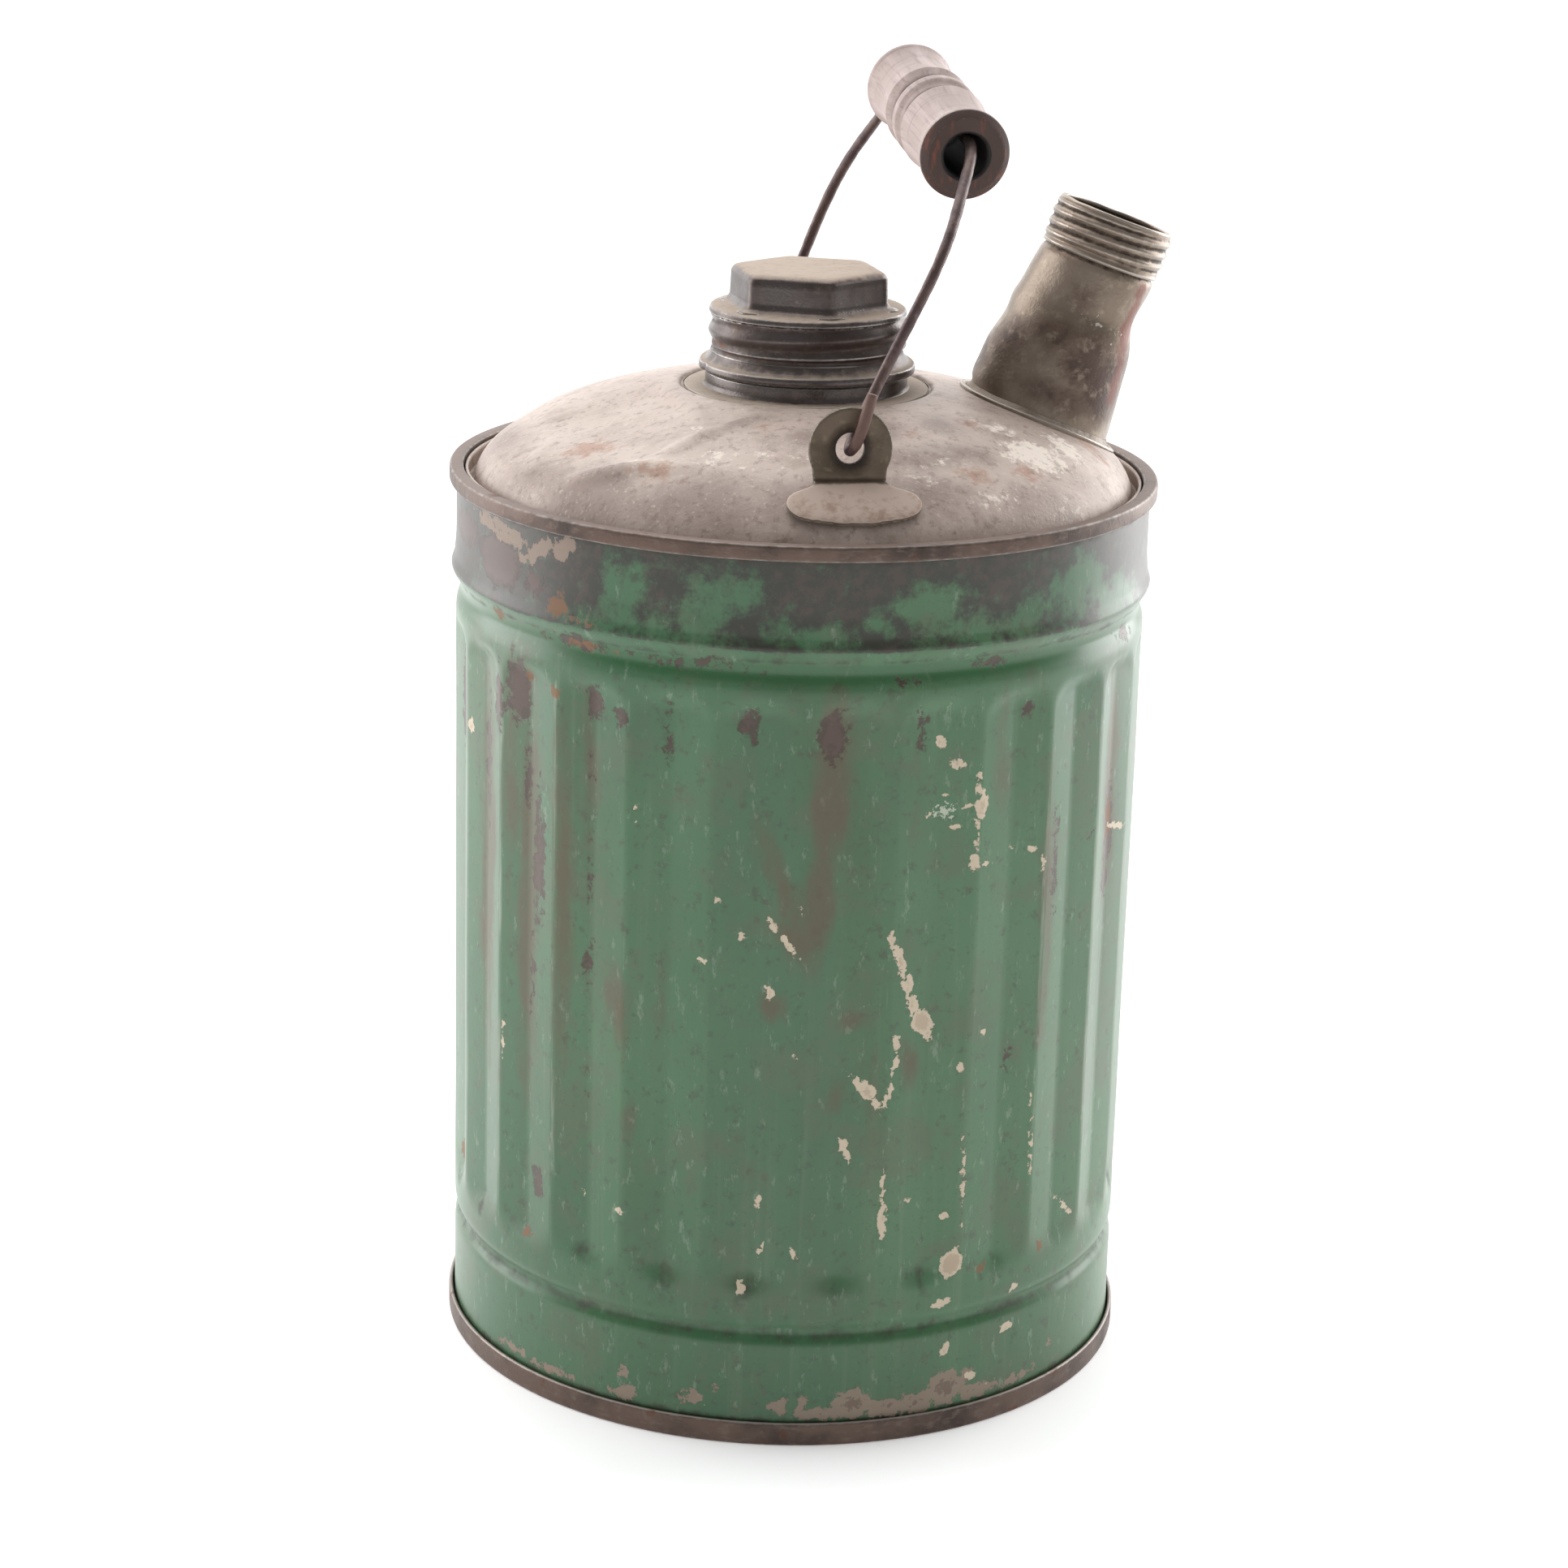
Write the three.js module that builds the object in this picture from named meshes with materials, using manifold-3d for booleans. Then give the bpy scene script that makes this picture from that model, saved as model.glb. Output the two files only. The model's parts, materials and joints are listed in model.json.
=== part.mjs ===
// One-gallon sheet-metal fuel can: fluted body, domed top with a screw-capped filler neck,
// a threaded pouring spout and a wire bail with a turned wooden grip.
// Millimetres, +Z up. The origin is on the can's axis at floor level. +X points to the spout,
// and the two bail ears stand at -Y (front) and +Y (rear).
import * as THREE from "three";
import { mergeVertices } from "three/addons/utils/BufferGeometryUtils.js";
import Module from "manifold-3d";

const wasm = await Module();
wasm.setup();

// Clearance between neighbouring solids, and facets round the large and small turned pieces.
const gap = 0.3;
const canFacets = 48;
const smallFacets = 24;
const sheet = 0.6;
const overcut = 1; // cutting tools run this far past what they cut

// Body: a rolled sheet with a groove low down, flutes, and a bead below the top seam.
const bodyRadius = 77;
const canHeight = 201.3;
const grooveHeight = 26.3;
const grooveHalf = 4.6;
const grooveDepth = 1;
const ribCount = 25;
const ribDepth = 1.45;
const ribPhase = -7.4; // degrees from the front ear towards the spout
const ribFoot = 34;
const ribRunOut = 6;
const ribHeadDrop = 33.3; // heads of the flutes below the can's top
const waistDrop = 27.3; // the inward roll between flutes and bead
const waistDepth = 0.8;
const beadDrop = 22.8;
const beadHalf = 2.9;
const beadOut = 0.7;

// Double seams that join the body to its two ends.
const topSeamOut = 1.65; // how far each seam stands out from the body
const topSeamHeight = 3.4;
const bottomSeamOut = 1.4;
const bottomSeamHeight = 5.3;
const seamFold = 1.2; // thickness of the fold over the edge of the body
const seamRounding = 0.6;

// Lock seam of the body, in one of the valleys at the back.
const lockSeamValley = 13;
const lockSeamWidth = 6;

// Ends: the bottom is recessed, and the top is a dome inside a narrow channel.
const bottomRecess = 4;
const channelDepth = 4.7;
const channelWidth = 2.1;
const domeRise = 24.6;
const domeSteps = 8;

// Filler neck, standing in a shallow flat seat on the dome.
const seatMargin = 1.5; // seat beyond the flange
const seatDepth = 0.8;
const neckThreadRadius = 19.9;
const neckThreadDepth = 0.5;
const neckWall = 1.5;
const neckCollarWidth = 2.4; // collar beyond the thread
const neckFlangeWidth = 4.7; // flange beyond the collar
const neckFlangeThickness = 0.6;
const neckSolderWidth = 1;

// Screw cap. Heights are above the hem.
const capLift = 4.6; // hem above the neck's seat
const capHemWidth = 2.2; // hem beyond the thread's crests
const capHemHeight = 4.4;
const capHemChamfer = 0.7;
const capThreadWall = 1.5; // from the cap's bore to the thread's crests
const capThreadDepth = 0.8;
const capFirstCrest = 6.1;
const capPitch = 4.6;
const capCrests = 2;
const capShoulder = 14.2;
const capRunning = 0.4; // radial clearance over the neck's thread
const capWall = 0.8;
const capRoof = 1.6;
const hexAcross = 31.9;
const hexHeight = 8.3;
const hexTurn = 6; // degrees from the front ear towards the spout
const gasketThickness = 1.4;

// Pouring spout: a taper that stands square to the dome.
const spoutInset = 19.6; // its foot inside the dome's foot
const spoutTilt = 19.4;
const spoutLength = 46.7;
const spoutFootRadius = 16.2;
const spoutTopRadius = 12.25;
const spoutFlangeWidth = 2.8;
const spoutHoleInset = 1.2; // the hole in the dome is smaller than the tube's bore by this
const spoutReach = 12; // the taper's cutting tools run this far below its foot
const spoutSolderWidth = 1.2;
const spoutSolderHeight = 0.9;
const collarLength = 11;
const collarWall = 0.8;
const collarLip = 0.9;
const collarCrest = 0.75;
const collarPitch = 2.5;
const collarCrests = 4;

// Ears: an upright lug with an eye, and a foot that follows the dome.
const earInset = 12.5; // lug inside the dome's foot radius
const earThickness = 0.9;
const earWidth = 17.7;
const earNeckWidth = 14.6;
const earFootWidth = 29;
const earFootLength = 10.3;
const earFootRounding = 4.1;
const earArcEnd = 30; // degrees below the eye where the lug's round edge ends
const eyeRadius = 3;
const eyeRise = 7.3; // eye above the dome
const earSolderWidth = 2.2;
const earSolderThickness = 1;

// Bail: a hand-bent wire and a turned grip that hangs on it.
const wireRadius = 1.25;
const wireSides = 8;
const wireSteps = 74;
const wireInGrip = [0.03, 0.1, 0.3, 0.7, 0.9, 0.97]; // its straight stretch, as shares of the grip
const gripLength = 59;
const gripShift = 1.5; // middle of the grip behind the can's axis
const gripBoreRadius = 4.7;
const gripHang = 2.4; // wire above the grip's axis
const gripFaceRadius = 8.2;
const gripEndRadius = 9.9;
const gripRim = 1.6; // rounding between the face and the end radius
const gripWaistRadius = 8.8;
const gripShoulderRadius = 9.8;
const gripShoulderOut = 8; // shoulder, groove and bead are counted from the middle
const gripGrooveRadius = 8.7;
const gripGrooveOut = 3.6;
const gripBeadRadius = 9.7;
const gripBeadHalf = 1.8;
// Ends of the grip: height above the eyes and lean from the vertical towards the spout.
const gripFront = { height: 62.6, lean: 27 };
const gripRear = { height: 69.1, lean: 22.4 };
// The wire from each cut end to the grip: [distance inside the ear, height, lean].
const frontWire = [
  [-3.2, 12.6, 17],
  [-3.2, 4.8, 20],
  [-2.4, 1.4, 24],
  [0, -0.4, 26],
  [2.4, 1.4, 26],
  [3.3, 4.8, 26.5],
  [5.2, 14.4, 26.6],
  [6.2, 24, 26.7],
  [6.9, 33, 26.8],
  [8.2, 40.4, 26.8],
  [11.8, 47.2, 26.9],
  [17, 53, 26.9],
  [23.2, 58.4, 27],
  [27.8, 62.4, 27],
];
const rearWire = [
  [-3.2, 11, 20],
  [-3.2, 4.8, 20],
  [-2.4, 1.4, 20],
  [0, -0.4, 20],
  [2.4, 1.4, 20],
  [3.3, 4.8, 20],
  [2.9, 14, 20.1],
  [2.5, 24, 20.3],
  [2.4, 33, 20.6],
  [4.2, 41, 20.8],
  [8.4, 48.4, 21],
  [14.5, 56, 21.5],
  [21.4, 63.6, 22],
  [27, 68.6, 22.4],
];

// ---------------------------------------------------------------- helpers

const radians = THREE.MathUtils.degToRad;

// A turned piece from [radius, height] points, which run outwards along the bottom, up the
// outside and back. They start and end on the axis, or close on themselves.
function turned(points, facets, start = 0) {
  const outline = points[0][0] === 0 ? points : [...points, points[0]];
  const vectors = outline.map(([r, z]) => new THREE.Vector2(r, z));
  return new THREE.LatheGeometry(vectors, facets, start).rotateX(Math.PI / 2);
}

function cylinder(radius, bottom, top) {
  return turned([[0, bottom], [radius, bottom], [radius, top], [0, top]], smallFacets);
}

// Copies of the points of an open line, moved to its left by a distance.
function beside(line, distance) {
  return line.map(([r, z], i) => {
    const before = line[Math.max(i - 1, 0)];
    const after = line[Math.min(i + 1, line.length - 1)];
    const a = new THREE.Vector2(r - before[0], z - before[1]).normalize();
    const b = new THREE.Vector2(after[0] - r, after[1] - z).normalize();
    const along = a.clone().add(b).normalize();
    const stretch = distance / along.dot(i === 0 ? b : a);
    return [r - along.y * stretch, z + along.x * stretch];
  });
}

function regularPolygon(radius, sides, turn = 0) {
  return Array.from({ length: sides }, (_, i) => {
    const angle = turn + (i * 2 * Math.PI) / sides;
    return new THREE.Vector2(radius * Math.cos(angle), radius * Math.sin(angle));
  });
}

function prism(shape, bottom, top) {
  const settings = { depth: top - bottom, bevelEnabled: false, curveSegments: 10 };
  return new THREE.ExtrudeGeometry(shape, settings).translate(0, 0, bottom);
}

function toSolid(geometry) {
  const loose = geometry.index ? geometry.toNonIndexed() : geometry;
  const bare = new THREE.BufferGeometry();
  bare.setAttribute("position", loose.getAttribute("position"));
  const merged = mergeVertices(bare, 1e-3);
  const corners = merged.index.array;
  const triangles = [];
  for (let i = 0; i < corners.length; i += 3) {
    const [a, b, c] = corners.slice(i, i + 3);
    if (a !== b && b !== c && c !== a) triangles.push(a, b, c);
  }
  const vertProperties = merged.getAttribute("position").array;
  const triVerts = new Uint32Array(triangles);
  return new wasm.Manifold(new wasm.Mesh({ numProp: 3, vertProperties, triVerts }));
}

function toGeometry(solid) {
  const { vertProperties, triVerts } = solid.getMesh();
  const geometry = new THREE.BufferGeometry();
  geometry.setAttribute("position", new THREE.BufferAttribute(vertProperties, 3));
  geometry.setIndex(new THREE.BufferAttribute(triVerts, 1));
  const faceted = geometry.toNonIndexed();
  faceted.computeVertexNormals();
  return faceted;
}

function finish(color, roughness, metalness) {
  return new THREE.MeshStandardMaterial({ color, roughness, metalness });
}

function piece(name, geometry, material) {
  const mesh = new THREE.Mesh(geometry, material);
  mesh.name = name;
  return mesh;
}

const finishes = {
  greenPaint: finish(0x3f6b4a, 0.55, 0.1),
  seamMetal: finish(0x4b443d, 0.5, 0.8),
  dustyTin: finish(0x9c8f7d, 0.7, 0.5),
  capMetal: finish(0x4c4943, 0.4, 0.8),
  spoutMetal: finish(0x7b7466, 0.5, 0.7),
  solder: finish(0x8c8a84, 0.5, 0.8),
  earMetal: finish(0x5b5443, 0.5, 0.8),
  wire: finish(0x4a3f38, 0.5, 0.8),
  wood: finish(0x6b5650, 0.7, 0),
  rubber: finish(0x2b2724, 0.8, 0),
};

// ---------------------------------------------------------------- body

const bodyInner = bodyRadius - sheet;
const seamInner = bodyInner - gap;
const bodyBottom = seamFold + gap;
const bodyTop = canHeight - seamFold - gap;
const ribHead = canHeight - ribHeadDrop;
const waistHeight = canHeight - waistDrop;
const beadHeight = canHeight - beadDrop;

// Share of the flutes' depth at a height: none outside them, all of it between their ends.
function ribShare(z) {
  const fromFoot = (z - ribFoot) / ribRunOut;
  const fromHead = (ribHead - z) / ribRunOut;
  return THREE.MathUtils.clamp(Math.min(fromFoot, fromHead), 0, 1);
}

// Outside of the body, from bottom to top, along a ridge.
const bodyLine = [
  [bodyRadius, bodyBottom],
  [bodyRadius, grooveHeight - grooveHalf],
  [bodyRadius - grooveDepth, grooveHeight],
  [bodyRadius, grooveHeight + grooveHalf],
  [bodyRadius, ribFoot],
  [bodyRadius, ribFoot + ribRunOut],
  [bodyRadius, ribHead - ribRunOut],
  [bodyRadius, ribHead],
  [bodyRadius - waistDepth, waistHeight],
  [bodyRadius + beadOut, beadHeight],
  [bodyRadius, beadHeight + beadHalf],
  [bodyRadius, bodyTop],
];

function makeBody() {
  const inside = bodyLine.map(([r, z]) => [r - sheet, z]).reverse();
  const start = radians(ribPhase);
  const shell = turned([...bodyLine, ...inside], 2 * ribCount, start);
  const position = shell.getAttribute("position");
  const perRib = (2 * Math.PI) / ribCount;
  for (let i = 0; i < position.count; i++) {
    const x = position.getX(i);
    const y = position.getY(i);
    const fromRidge = (Math.atan2(x, -y) - start) / perRib;
    const valleyShare = 2 * Math.abs(fromRidge - Math.round(fromRidge));
    const drop = ribDepth * valleyShare * ribShare(position.getZ(i));
    const scale = 1 - drop / Math.hypot(x, y);
    position.setXY(i, x * scale, y * scale);
  }
  return shell;
}

// The folded edge of the body's own sheet, soldered down along one valley.
function makeLockSeam() {
  const halfPitch = (Math.PI * bodyRadius) / ribCount;
  const rise = (ribDepth * lockSeamWidth) / 2 / halfPitch;
  const low = bottomSeamHeight + gap;
  const high = canHeight - topSeamHeight - gap;
  const line = bodyLine
    .filter(([, z]) => z > low && z < high)
    .map(([r, z]) => [r + gap - (ribDepth - rise) * ribShare(z), z]);
  const inner = [[bodyRadius + gap, low], ...line, [bodyRadius + gap, high]];
  const outer = inner.map(([r, z]) => [r + sheet, z]).reverse();
  const outline = [...inner, ...outer].map(([r, z]) => new THREE.Vector2(r, z));
  const strip = prism(new THREE.Shape(outline), -lockSeamWidth / 2, lockSeamWidth / 2);
  const valley = ribPhase + ((lockSeamValley + 0.5) * 360) / ribCount;
  return strip.rotateX(Math.PI / 2).rotateZ(radians(valley - 90));
}

// A double seam over one edge of the body. Heights count from that end of the can.
function makeSeam(standOut, height, end, inwards) {
  const radius = bodyRadius + standOut;
  const outline = [
    [seamInner - sheet, seamRounding],
    [seamInner, 0],
    [bodyRadius + gap, 0],
    [radius, seamRounding * 2],
    [radius, height - seamRounding],
    [radius - seamRounding, height],
    [bodyRadius + gap, height],
    [bodyRadius + gap, seamFold],
    [seamInner, seamFold],
    [seamInner, height],
    [seamInner - sheet, height],
  ].map(([r, h]) => [r, end + inwards * h]);
  return turned(inwards > 0 ? outline : outline.reverse(), canFacets);
}

// ---------------------------------------------------------------- ends

const headRadius = seamInner - sheet - gap;
const channelBottom = canHeight - channelDepth;
const domeRadius = headRadius - sheet - channelWidth;

function domeAt(r) {
  return channelBottom + domeRise * Math.sqrt(1 - (r / domeRadius) ** 2);
}

const neckBoreRadius = neckThreadRadius - neckWall;
const neckCollarRadius = neckThreadRadius + neckCollarWidth;
const neckFlangeRadius = neckCollarRadius + neckFlangeWidth;
const seatRadius = neckFlangeRadius + seatMargin;
const seatHeight = domeAt(seatRadius) - seatDepth;

// Outside of the dome from its foot inwards to a radius.
function domeLine(innerRadius) {
  const last = Math.acos(innerRadius / domeRadius);
  return Array.from({ length: domeSteps + 1 }, (_, i) => {
    const angle = (last * i) / domeSteps;
    return [domeRadius * Math.cos(angle), channelBottom + domeRise * Math.sin(angle)];
  });
}

// Everything under the dome's outside once that is raised by a level, as a cutting tool.
function underDome(level) {
  const raised = beside(domeLine(seatRadius), -level);
  const top = raised.at(-1)[1];
  const outside = raised[0][0];
  const points = [[0, 0], [outside, 0], ...raised, [0, top]];
  return toSolid(turned(points, canFacets));
}

// The layer on the dome between two levels.
function onDome(low, high) {
  return underDome(high).subtract(underDome(low));
}

function makeBottomHead() {
  const inner = headRadius - sheet;
  const skirt = seamFold;
  const points = [
    [0, bottomRecess],
    [inner, bottomRecess],
    [inner, skirt],
    [headRadius, skirt],
    [headRadius, bottomRecess + sheet],
    [0, bottomRecess + sheet],
  ];
  return turned(points, canFacets);
}

// ---------------------------------------------------------------- spout places

const spoutFoot = domeRadius - spoutInset;
const spoutBase = new THREE.Vector3(spoutFoot, 0, domeAt(spoutFoot));

// Turns a geometry made along +Z from the foot of the spout into its place.
function alongSpout(geometry) {
  return geometry.rotateY(radians(spoutTilt)).translate(...spoutBase.toArray());
}

const collarBottom = spoutLength - collarLength;
const tubeTop = spoutLength - collarLip - gap;
const footReachRadius = spoutFootRadius
  + ((spoutFootRadius - spoutTopRadius) * spoutReach) / collarBottom;

// A solid taper inside or outside the tube's wall by an offset, straight past the collar.
function spoutTaper(offset, top) {
  const points = [
    [0, -spoutReach],
    [footReachRadius + offset, -spoutReach],
    [spoutTopRadius + offset, collarBottom],
    [spoutTopRadius + offset, top],
    [0, top],
  ];
  return toSolid(alongSpout(turned(points, smallFacets)));
}

function makeTopHead() {
  const inner = headRadius - sheet;
  const outside = [
    [inner, canHeight - seamRounding],
    [inner, channelBottom],
    ...domeLine(seatRadius),
    [seatRadius - seatDepth, seatHeight],
    [neckBoreRadius, seatHeight],
  ];
  const underside = beside(outside, sheet).reverse();
  const shell = toSolid(turned([...underside, ...outside], canFacets));
  return toGeometry(shell.subtract(spoutTaper(-sheet - spoutHoleInset, spoutReach)));
}

// ---------------------------------------------------------------- neck and cap

const capBase = seatHeight + capLift;
const capBore = neckThreadRadius + capRunning;
const capCrestRadius = capBore + capThreadWall;
const capHemRadius = capCrestRadius + capHemWidth;
const capCeiling = capBase + capShoulder - capRoof;
const gasketBottom = capCeiling - gap - gasketThickness;
const neckTop = gasketBottom - gap;

// Crest and root points of a thread, from its first crest upwards.
function threadLine(crestRadius, depth, firstCrest, pitch, crests) {
  return Array.from({ length: crests }, (_, i) => [
    [crestRadius, firstCrest + i * pitch],
    [crestRadius - depth, firstCrest + (i + 0.5) * pitch],
  ]).flat();
}

function makeNeck() {
  const flangeBottom = seatHeight + gap;
  const flangeTop = flangeBottom + neckFlangeThickness;
  const root = neckThreadRadius - neckThreadDepth;
  const collarTop = capBase - gap;
  const points = [
    [neckBoreRadius, flangeBottom],
    [neckFlangeRadius, flangeBottom],
    [neckFlangeRadius, flangeTop],
    [neckCollarRadius, flangeTop],
    [neckCollarRadius, collarTop],
    [root, collarTop],
    ...threadLine(neckThreadRadius, neckThreadDepth, collarTop + capPitch / 2, capPitch, capCrests),
    [root, neckTop],
    [neckBoreRadius, neckTop],
  ];
  return turned(points, smallFacets);
}

// A bead of solder round the edge of the neck's flange.
function makeNeckSolder() {
  const inner = neckFlangeRadius + gap;
  const low = seatHeight + gap;
  const points = [
    [inner, low],
    [inner + neckSolderWidth / 2, low],
    [inner + neckSolderWidth / 2, low + sheet],
    [inner, low + neckSolderWidth],
  ];
  return turned(points, smallFacets);
}

function makeCap() {
  const root = capCrestRadius - capThreadDepth;
  const outside = [
    [0, 0],
    [capHemRadius - capHemChamfer, 0],
    [capHemRadius, capHemChamfer],
    [capHemRadius, capHemHeight - 2 * capHemChamfer],
    [root, capHemHeight],
    ...threadLine(capCrestRadius, capThreadDepth, capFirstCrest, capPitch, capCrests),
    [capCrestRadius, capShoulder - capRoof],
    [root, capShoulder - capThreadDepth / 2],
    [0, capShoulder],
  ];
  const roof = capShoulder - capRoof;
  const hexTop = capShoulder + hexHeight;
  const corner = hexAcross / Math.sqrt(3);
  const turn = radians(hexTurn - 90);
  const hex = new THREE.Shape(regularPolygon(corner, 6, turn));
  const hollow = new THREE.Shape(regularPolygon(corner - (2 * capWall) / Math.sqrt(3), 6, turn));
  const cap = toSolid(turned(outside, smallFacets))
    .add(toSolid(prism(hex, roof, hexTop)))
    .subtract(toSolid(cylinder(capBore, -overcut, roof)))
    .subtract(toSolid(prism(hollow, roof - overcut, hexTop - capWall)));
  return toGeometry(cap);
}

function makeGasket() {
  const outer = capBore - gap;
  const top = gasketBottom + gasketThickness;
  const points = [
    [neckBoreRadius, gasketBottom],
    [outer, gasketBottom],
    [outer, top],
    [neckBoreRadius, top],
  ];
  return turned(points, smallFacets);
}

// ---------------------------------------------------------------- spout

function makeSpoutTube() {
  const tube = spoutTaper(0, tubeTop)
    .subtract(spoutTaper(-sheet, spoutLength + overcut))
    .subtract(underDome(gap));
  return toGeometry(tube);
}

function spoutDisc(radius) {
  return toSolid(alongSpout(cylinder(radius, -spoutReach, spoutReach)));
}

function makeSpoutFlange() {
  const layer = onDome(gap, gap + sheet).intersect(spoutDisc(spoutFootRadius + spoutFlangeWidth));
  return toGeometry(layer.subtract(spoutTaper(gap, spoutLength)));
}

function makeSpoutSolder() {
  const level = gap + sheet + gap;
  const layer = onDome(level, level + spoutSolderHeight);
  const ring = layer.intersect(spoutDisc(spoutFootRadius + gap + spoutSolderWidth));
  return toGeometry(ring.subtract(spoutTaper(gap, spoutLength)));
}

function makeCollar() {
  const bore = spoutTopRadius - sheet;
  const sleeve = spoutTopRadius + gap;
  const root = sleeve + collarWall;
  const crest = root + collarCrest;
  const firstCrest = spoutLength - collarLip - (collarCrests - 0.5) * collarPitch;
  const points = [
    [sleeve, collarBottom + gap],
    [root, collarBottom + gap],
    [root, firstCrest - collarPitch / 2],
    ...threadLine(crest, collarCrest, firstCrest, collarPitch, collarCrests),
    [root, spoutLength],
    [bore, spoutLength],
    [bore, spoutLength - collarLip],
    [sleeve, spoutLength - collarLip],
  ];
  return alongSpout(turned(points, smallFacets));
}

// ---------------------------------------------------------------- ears

const earDistance = domeRadius - earInset;
const eyeHeight = domeAt(earDistance) + eyeRise;

// Made for the front ear, at -Y. The foot runs outwards under the lug.
function makeEar() {
  const half = earWidth / 2;
  const neck = earNeckWidth / 2;
  const bottom = domeAt(earDistance) + (gap + earThickness) / 2 - eyeHeight;
  const lug = new THREE.Shape();
  lug.moveTo(-neck, bottom);
  lug.lineTo(neck, bottom);
  lug.absarc(0, 0, half, radians(-earArcEnd), radians(180 + earArcEnd), false);
  lug.lineTo(-neck, bottom);
  const eye = new THREE.Path().absarc(0, 0, eyeRadius, 0, 2 * Math.PI, true);
  lug.holes.push(eye);
  const plate = prism(lug, -earThickness / 2, earThickness / 2);
  plate.rotateX(Math.PI / 2).translate(0, -earDistance, eyeHeight);

  const foot = new THREE.Shape();
  const inner = -earDistance + earThickness / 2;
  const outer = inner - earFootLength;
  const wide = earFootWidth / 2;
  const middle = outer + earFootRounding;
  foot.moveTo(-neck, inner);
  foot.quadraticCurveTo(-neck, middle + earFootRounding / 2, -wide, middle);
  foot.quadraticCurveTo(-wide, outer, -wide + earFootRounding, outer);
  foot.lineTo(wide - earFootRounding, outer);
  foot.quadraticCurveTo(wide, outer, wide, middle);
  foot.quadraticCurveTo(neck, middle + earFootRounding / 2, neck, inner);
  foot.lineTo(-neck, inner);
  const column = toSolid(prism(foot, channelBottom, eyeHeight));
  return toSolid(plate).add(column.intersect(onDome(gap, gap + earThickness)));
}

// Solder run in behind the front lug.
function makeEarSolder() {
  const outer = -earDistance + earThickness / 2 + gap;
  const inner = outer + earSolderWidth;
  const half = earNeckWidth / 2 - gap;
  const pad = new THREE.Shape([
    new THREE.Vector2(-half, outer),
    new THREE.Vector2(half, outer),
    new THREE.Vector2(half - earSolderWidth, inner),
    new THREE.Vector2(-half + earSolderWidth, inner),
  ]);
  const column = toSolid(prism(pad, channelBottom, eyeHeight));
  return column.intersect(onDome(gap, gap + earSolderThickness));
}

// ---------------------------------------------------------------- bail

const eyeAxis = new THREE.Vector3(0, 0, eyeHeight);

// A point of the bail from its place along Y, its height over the eyes and its lean.
function bailPoint(y, height, lean) {
  const angle = radians(lean);
  const fromAxis = new THREE.Vector3(height * Math.sin(angle), y, height * Math.cos(angle));
  return fromAxis.add(eyeAxis);
}

const gripStart = bailPoint(gripShift - gripLength / 2, gripFront.height, gripFront.lean);
const gripEnd = bailPoint(gripShift + gripLength / 2, gripRear.height, gripRear.lean);

function makeWire() {
  const front = frontWire.map(([inside, h, lean]) => bailPoint(inside - earDistance, h, lean));
  const rear = rearWire.map(([inside, h, lean]) => bailPoint(earDistance - inside, h, lean));
  const overAxis = (end) => bailPoint(0, gripHang, end.lean).sub(eyeAxis);
  const start = gripStart.clone().add(overAxis(gripFront));
  const end = gripEnd.clone().add(overAxis(gripRear));
  const straight = wireInGrip.map((share) => start.clone().lerp(end, share));
  const path = new THREE.CatmullRomCurve3([...front, ...straight, ...rear.reverse()]);
  const section = new THREE.Shape(regularPolygon(wireRadius, wireSides));
  const settings = { steps: wireSteps, bevelEnabled: false, extrudePath: path };
  return new THREE.ExtrudeGeometry(section, settings);
}

// The grip's turned outline is the same both ways from its middle: [distance, radius].
function makeGrip() {
  const end = gripLength / 2;
  const half = [
    [end, gripFaceRadius],
    [end - gripRim, gripEndRadius],
    [(end + gripShoulderOut) / 2, gripWaistRadius],
    [gripShoulderOut, gripShoulderRadius],
    [gripGrooveOut, gripGrooveRadius],
    [gripBeadHalf, gripBeadRadius],
  ];
  const front = half.map(([out, r]) => [r, -out]);
  const rear = half.map(([out, r]) => [r, out]).reverse();
  const bore = [[gripBoreRadius, end], [gripBoreRadius, -end]];
  return turned([...front, ...rear, ...bore], smallFacets);
}

// ---------------------------------------------------------------- the can

const can = new THREE.Group();

const body = new THREE.Group();
const topSeam = makeSeam(topSeamOut, topSeamHeight, canHeight, -1);
const bottomSeam = makeSeam(bottomSeamOut, bottomSeamHeight, 0, 1);
body.add(
  piece("body_shell", makeBody(), finishes.greenPaint),
  piece("side_seam", makeLockSeam(), finishes.greenPaint),
  piece("bottom_head", makeBottomHead(), finishes.seamMetal),
  piece("bottom_seam", bottomSeam, finishes.seamMetal),
  piece("top_head", makeTopHead(), finishes.dustyTin),
  piece("top_seam", topSeam, finishes.seamMetal),
);

const filler = new THREE.Group();
const cap = piece("fill_cap", makeCap(), finishes.capMetal);
cap.position.z = capBase;
filler.add(
  piece("filler_neck", makeNeck(), finishes.capMetal),
  piece("neck_solder", makeNeckSolder(), finishes.solder),
  piece("cap_gasket", makeGasket(), finishes.rubber),
  cap,
);

const spout = new THREE.Group();
spout.add(
  piece("spout_tube", makeSpoutTube(), finishes.spoutMetal),
  piece("spout_flange", makeSpoutFlange(), finishes.spoutMetal),
  piece("spout_solder", makeSpoutSolder(), finishes.solder),
  piece("spout_collar", makeCollar(), finishes.spoutMetal),
);

const ears = new THREE.Group();
const ear = toGeometry(makeEar());
const earSolder = toGeometry(makeEarSolder());
for (const [side, turn] of [["front", 0], ["rear", Math.PI]]) {
  const pair = new THREE.Group();
  pair.rotation.z = turn;
  pair.add(
    piece(`ear_${side}`, ear, finishes.earMetal),
    piece(`ear_solder_${side}`, earSolder, finishes.solder),
  );
  ears.add(pair);
}

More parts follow.
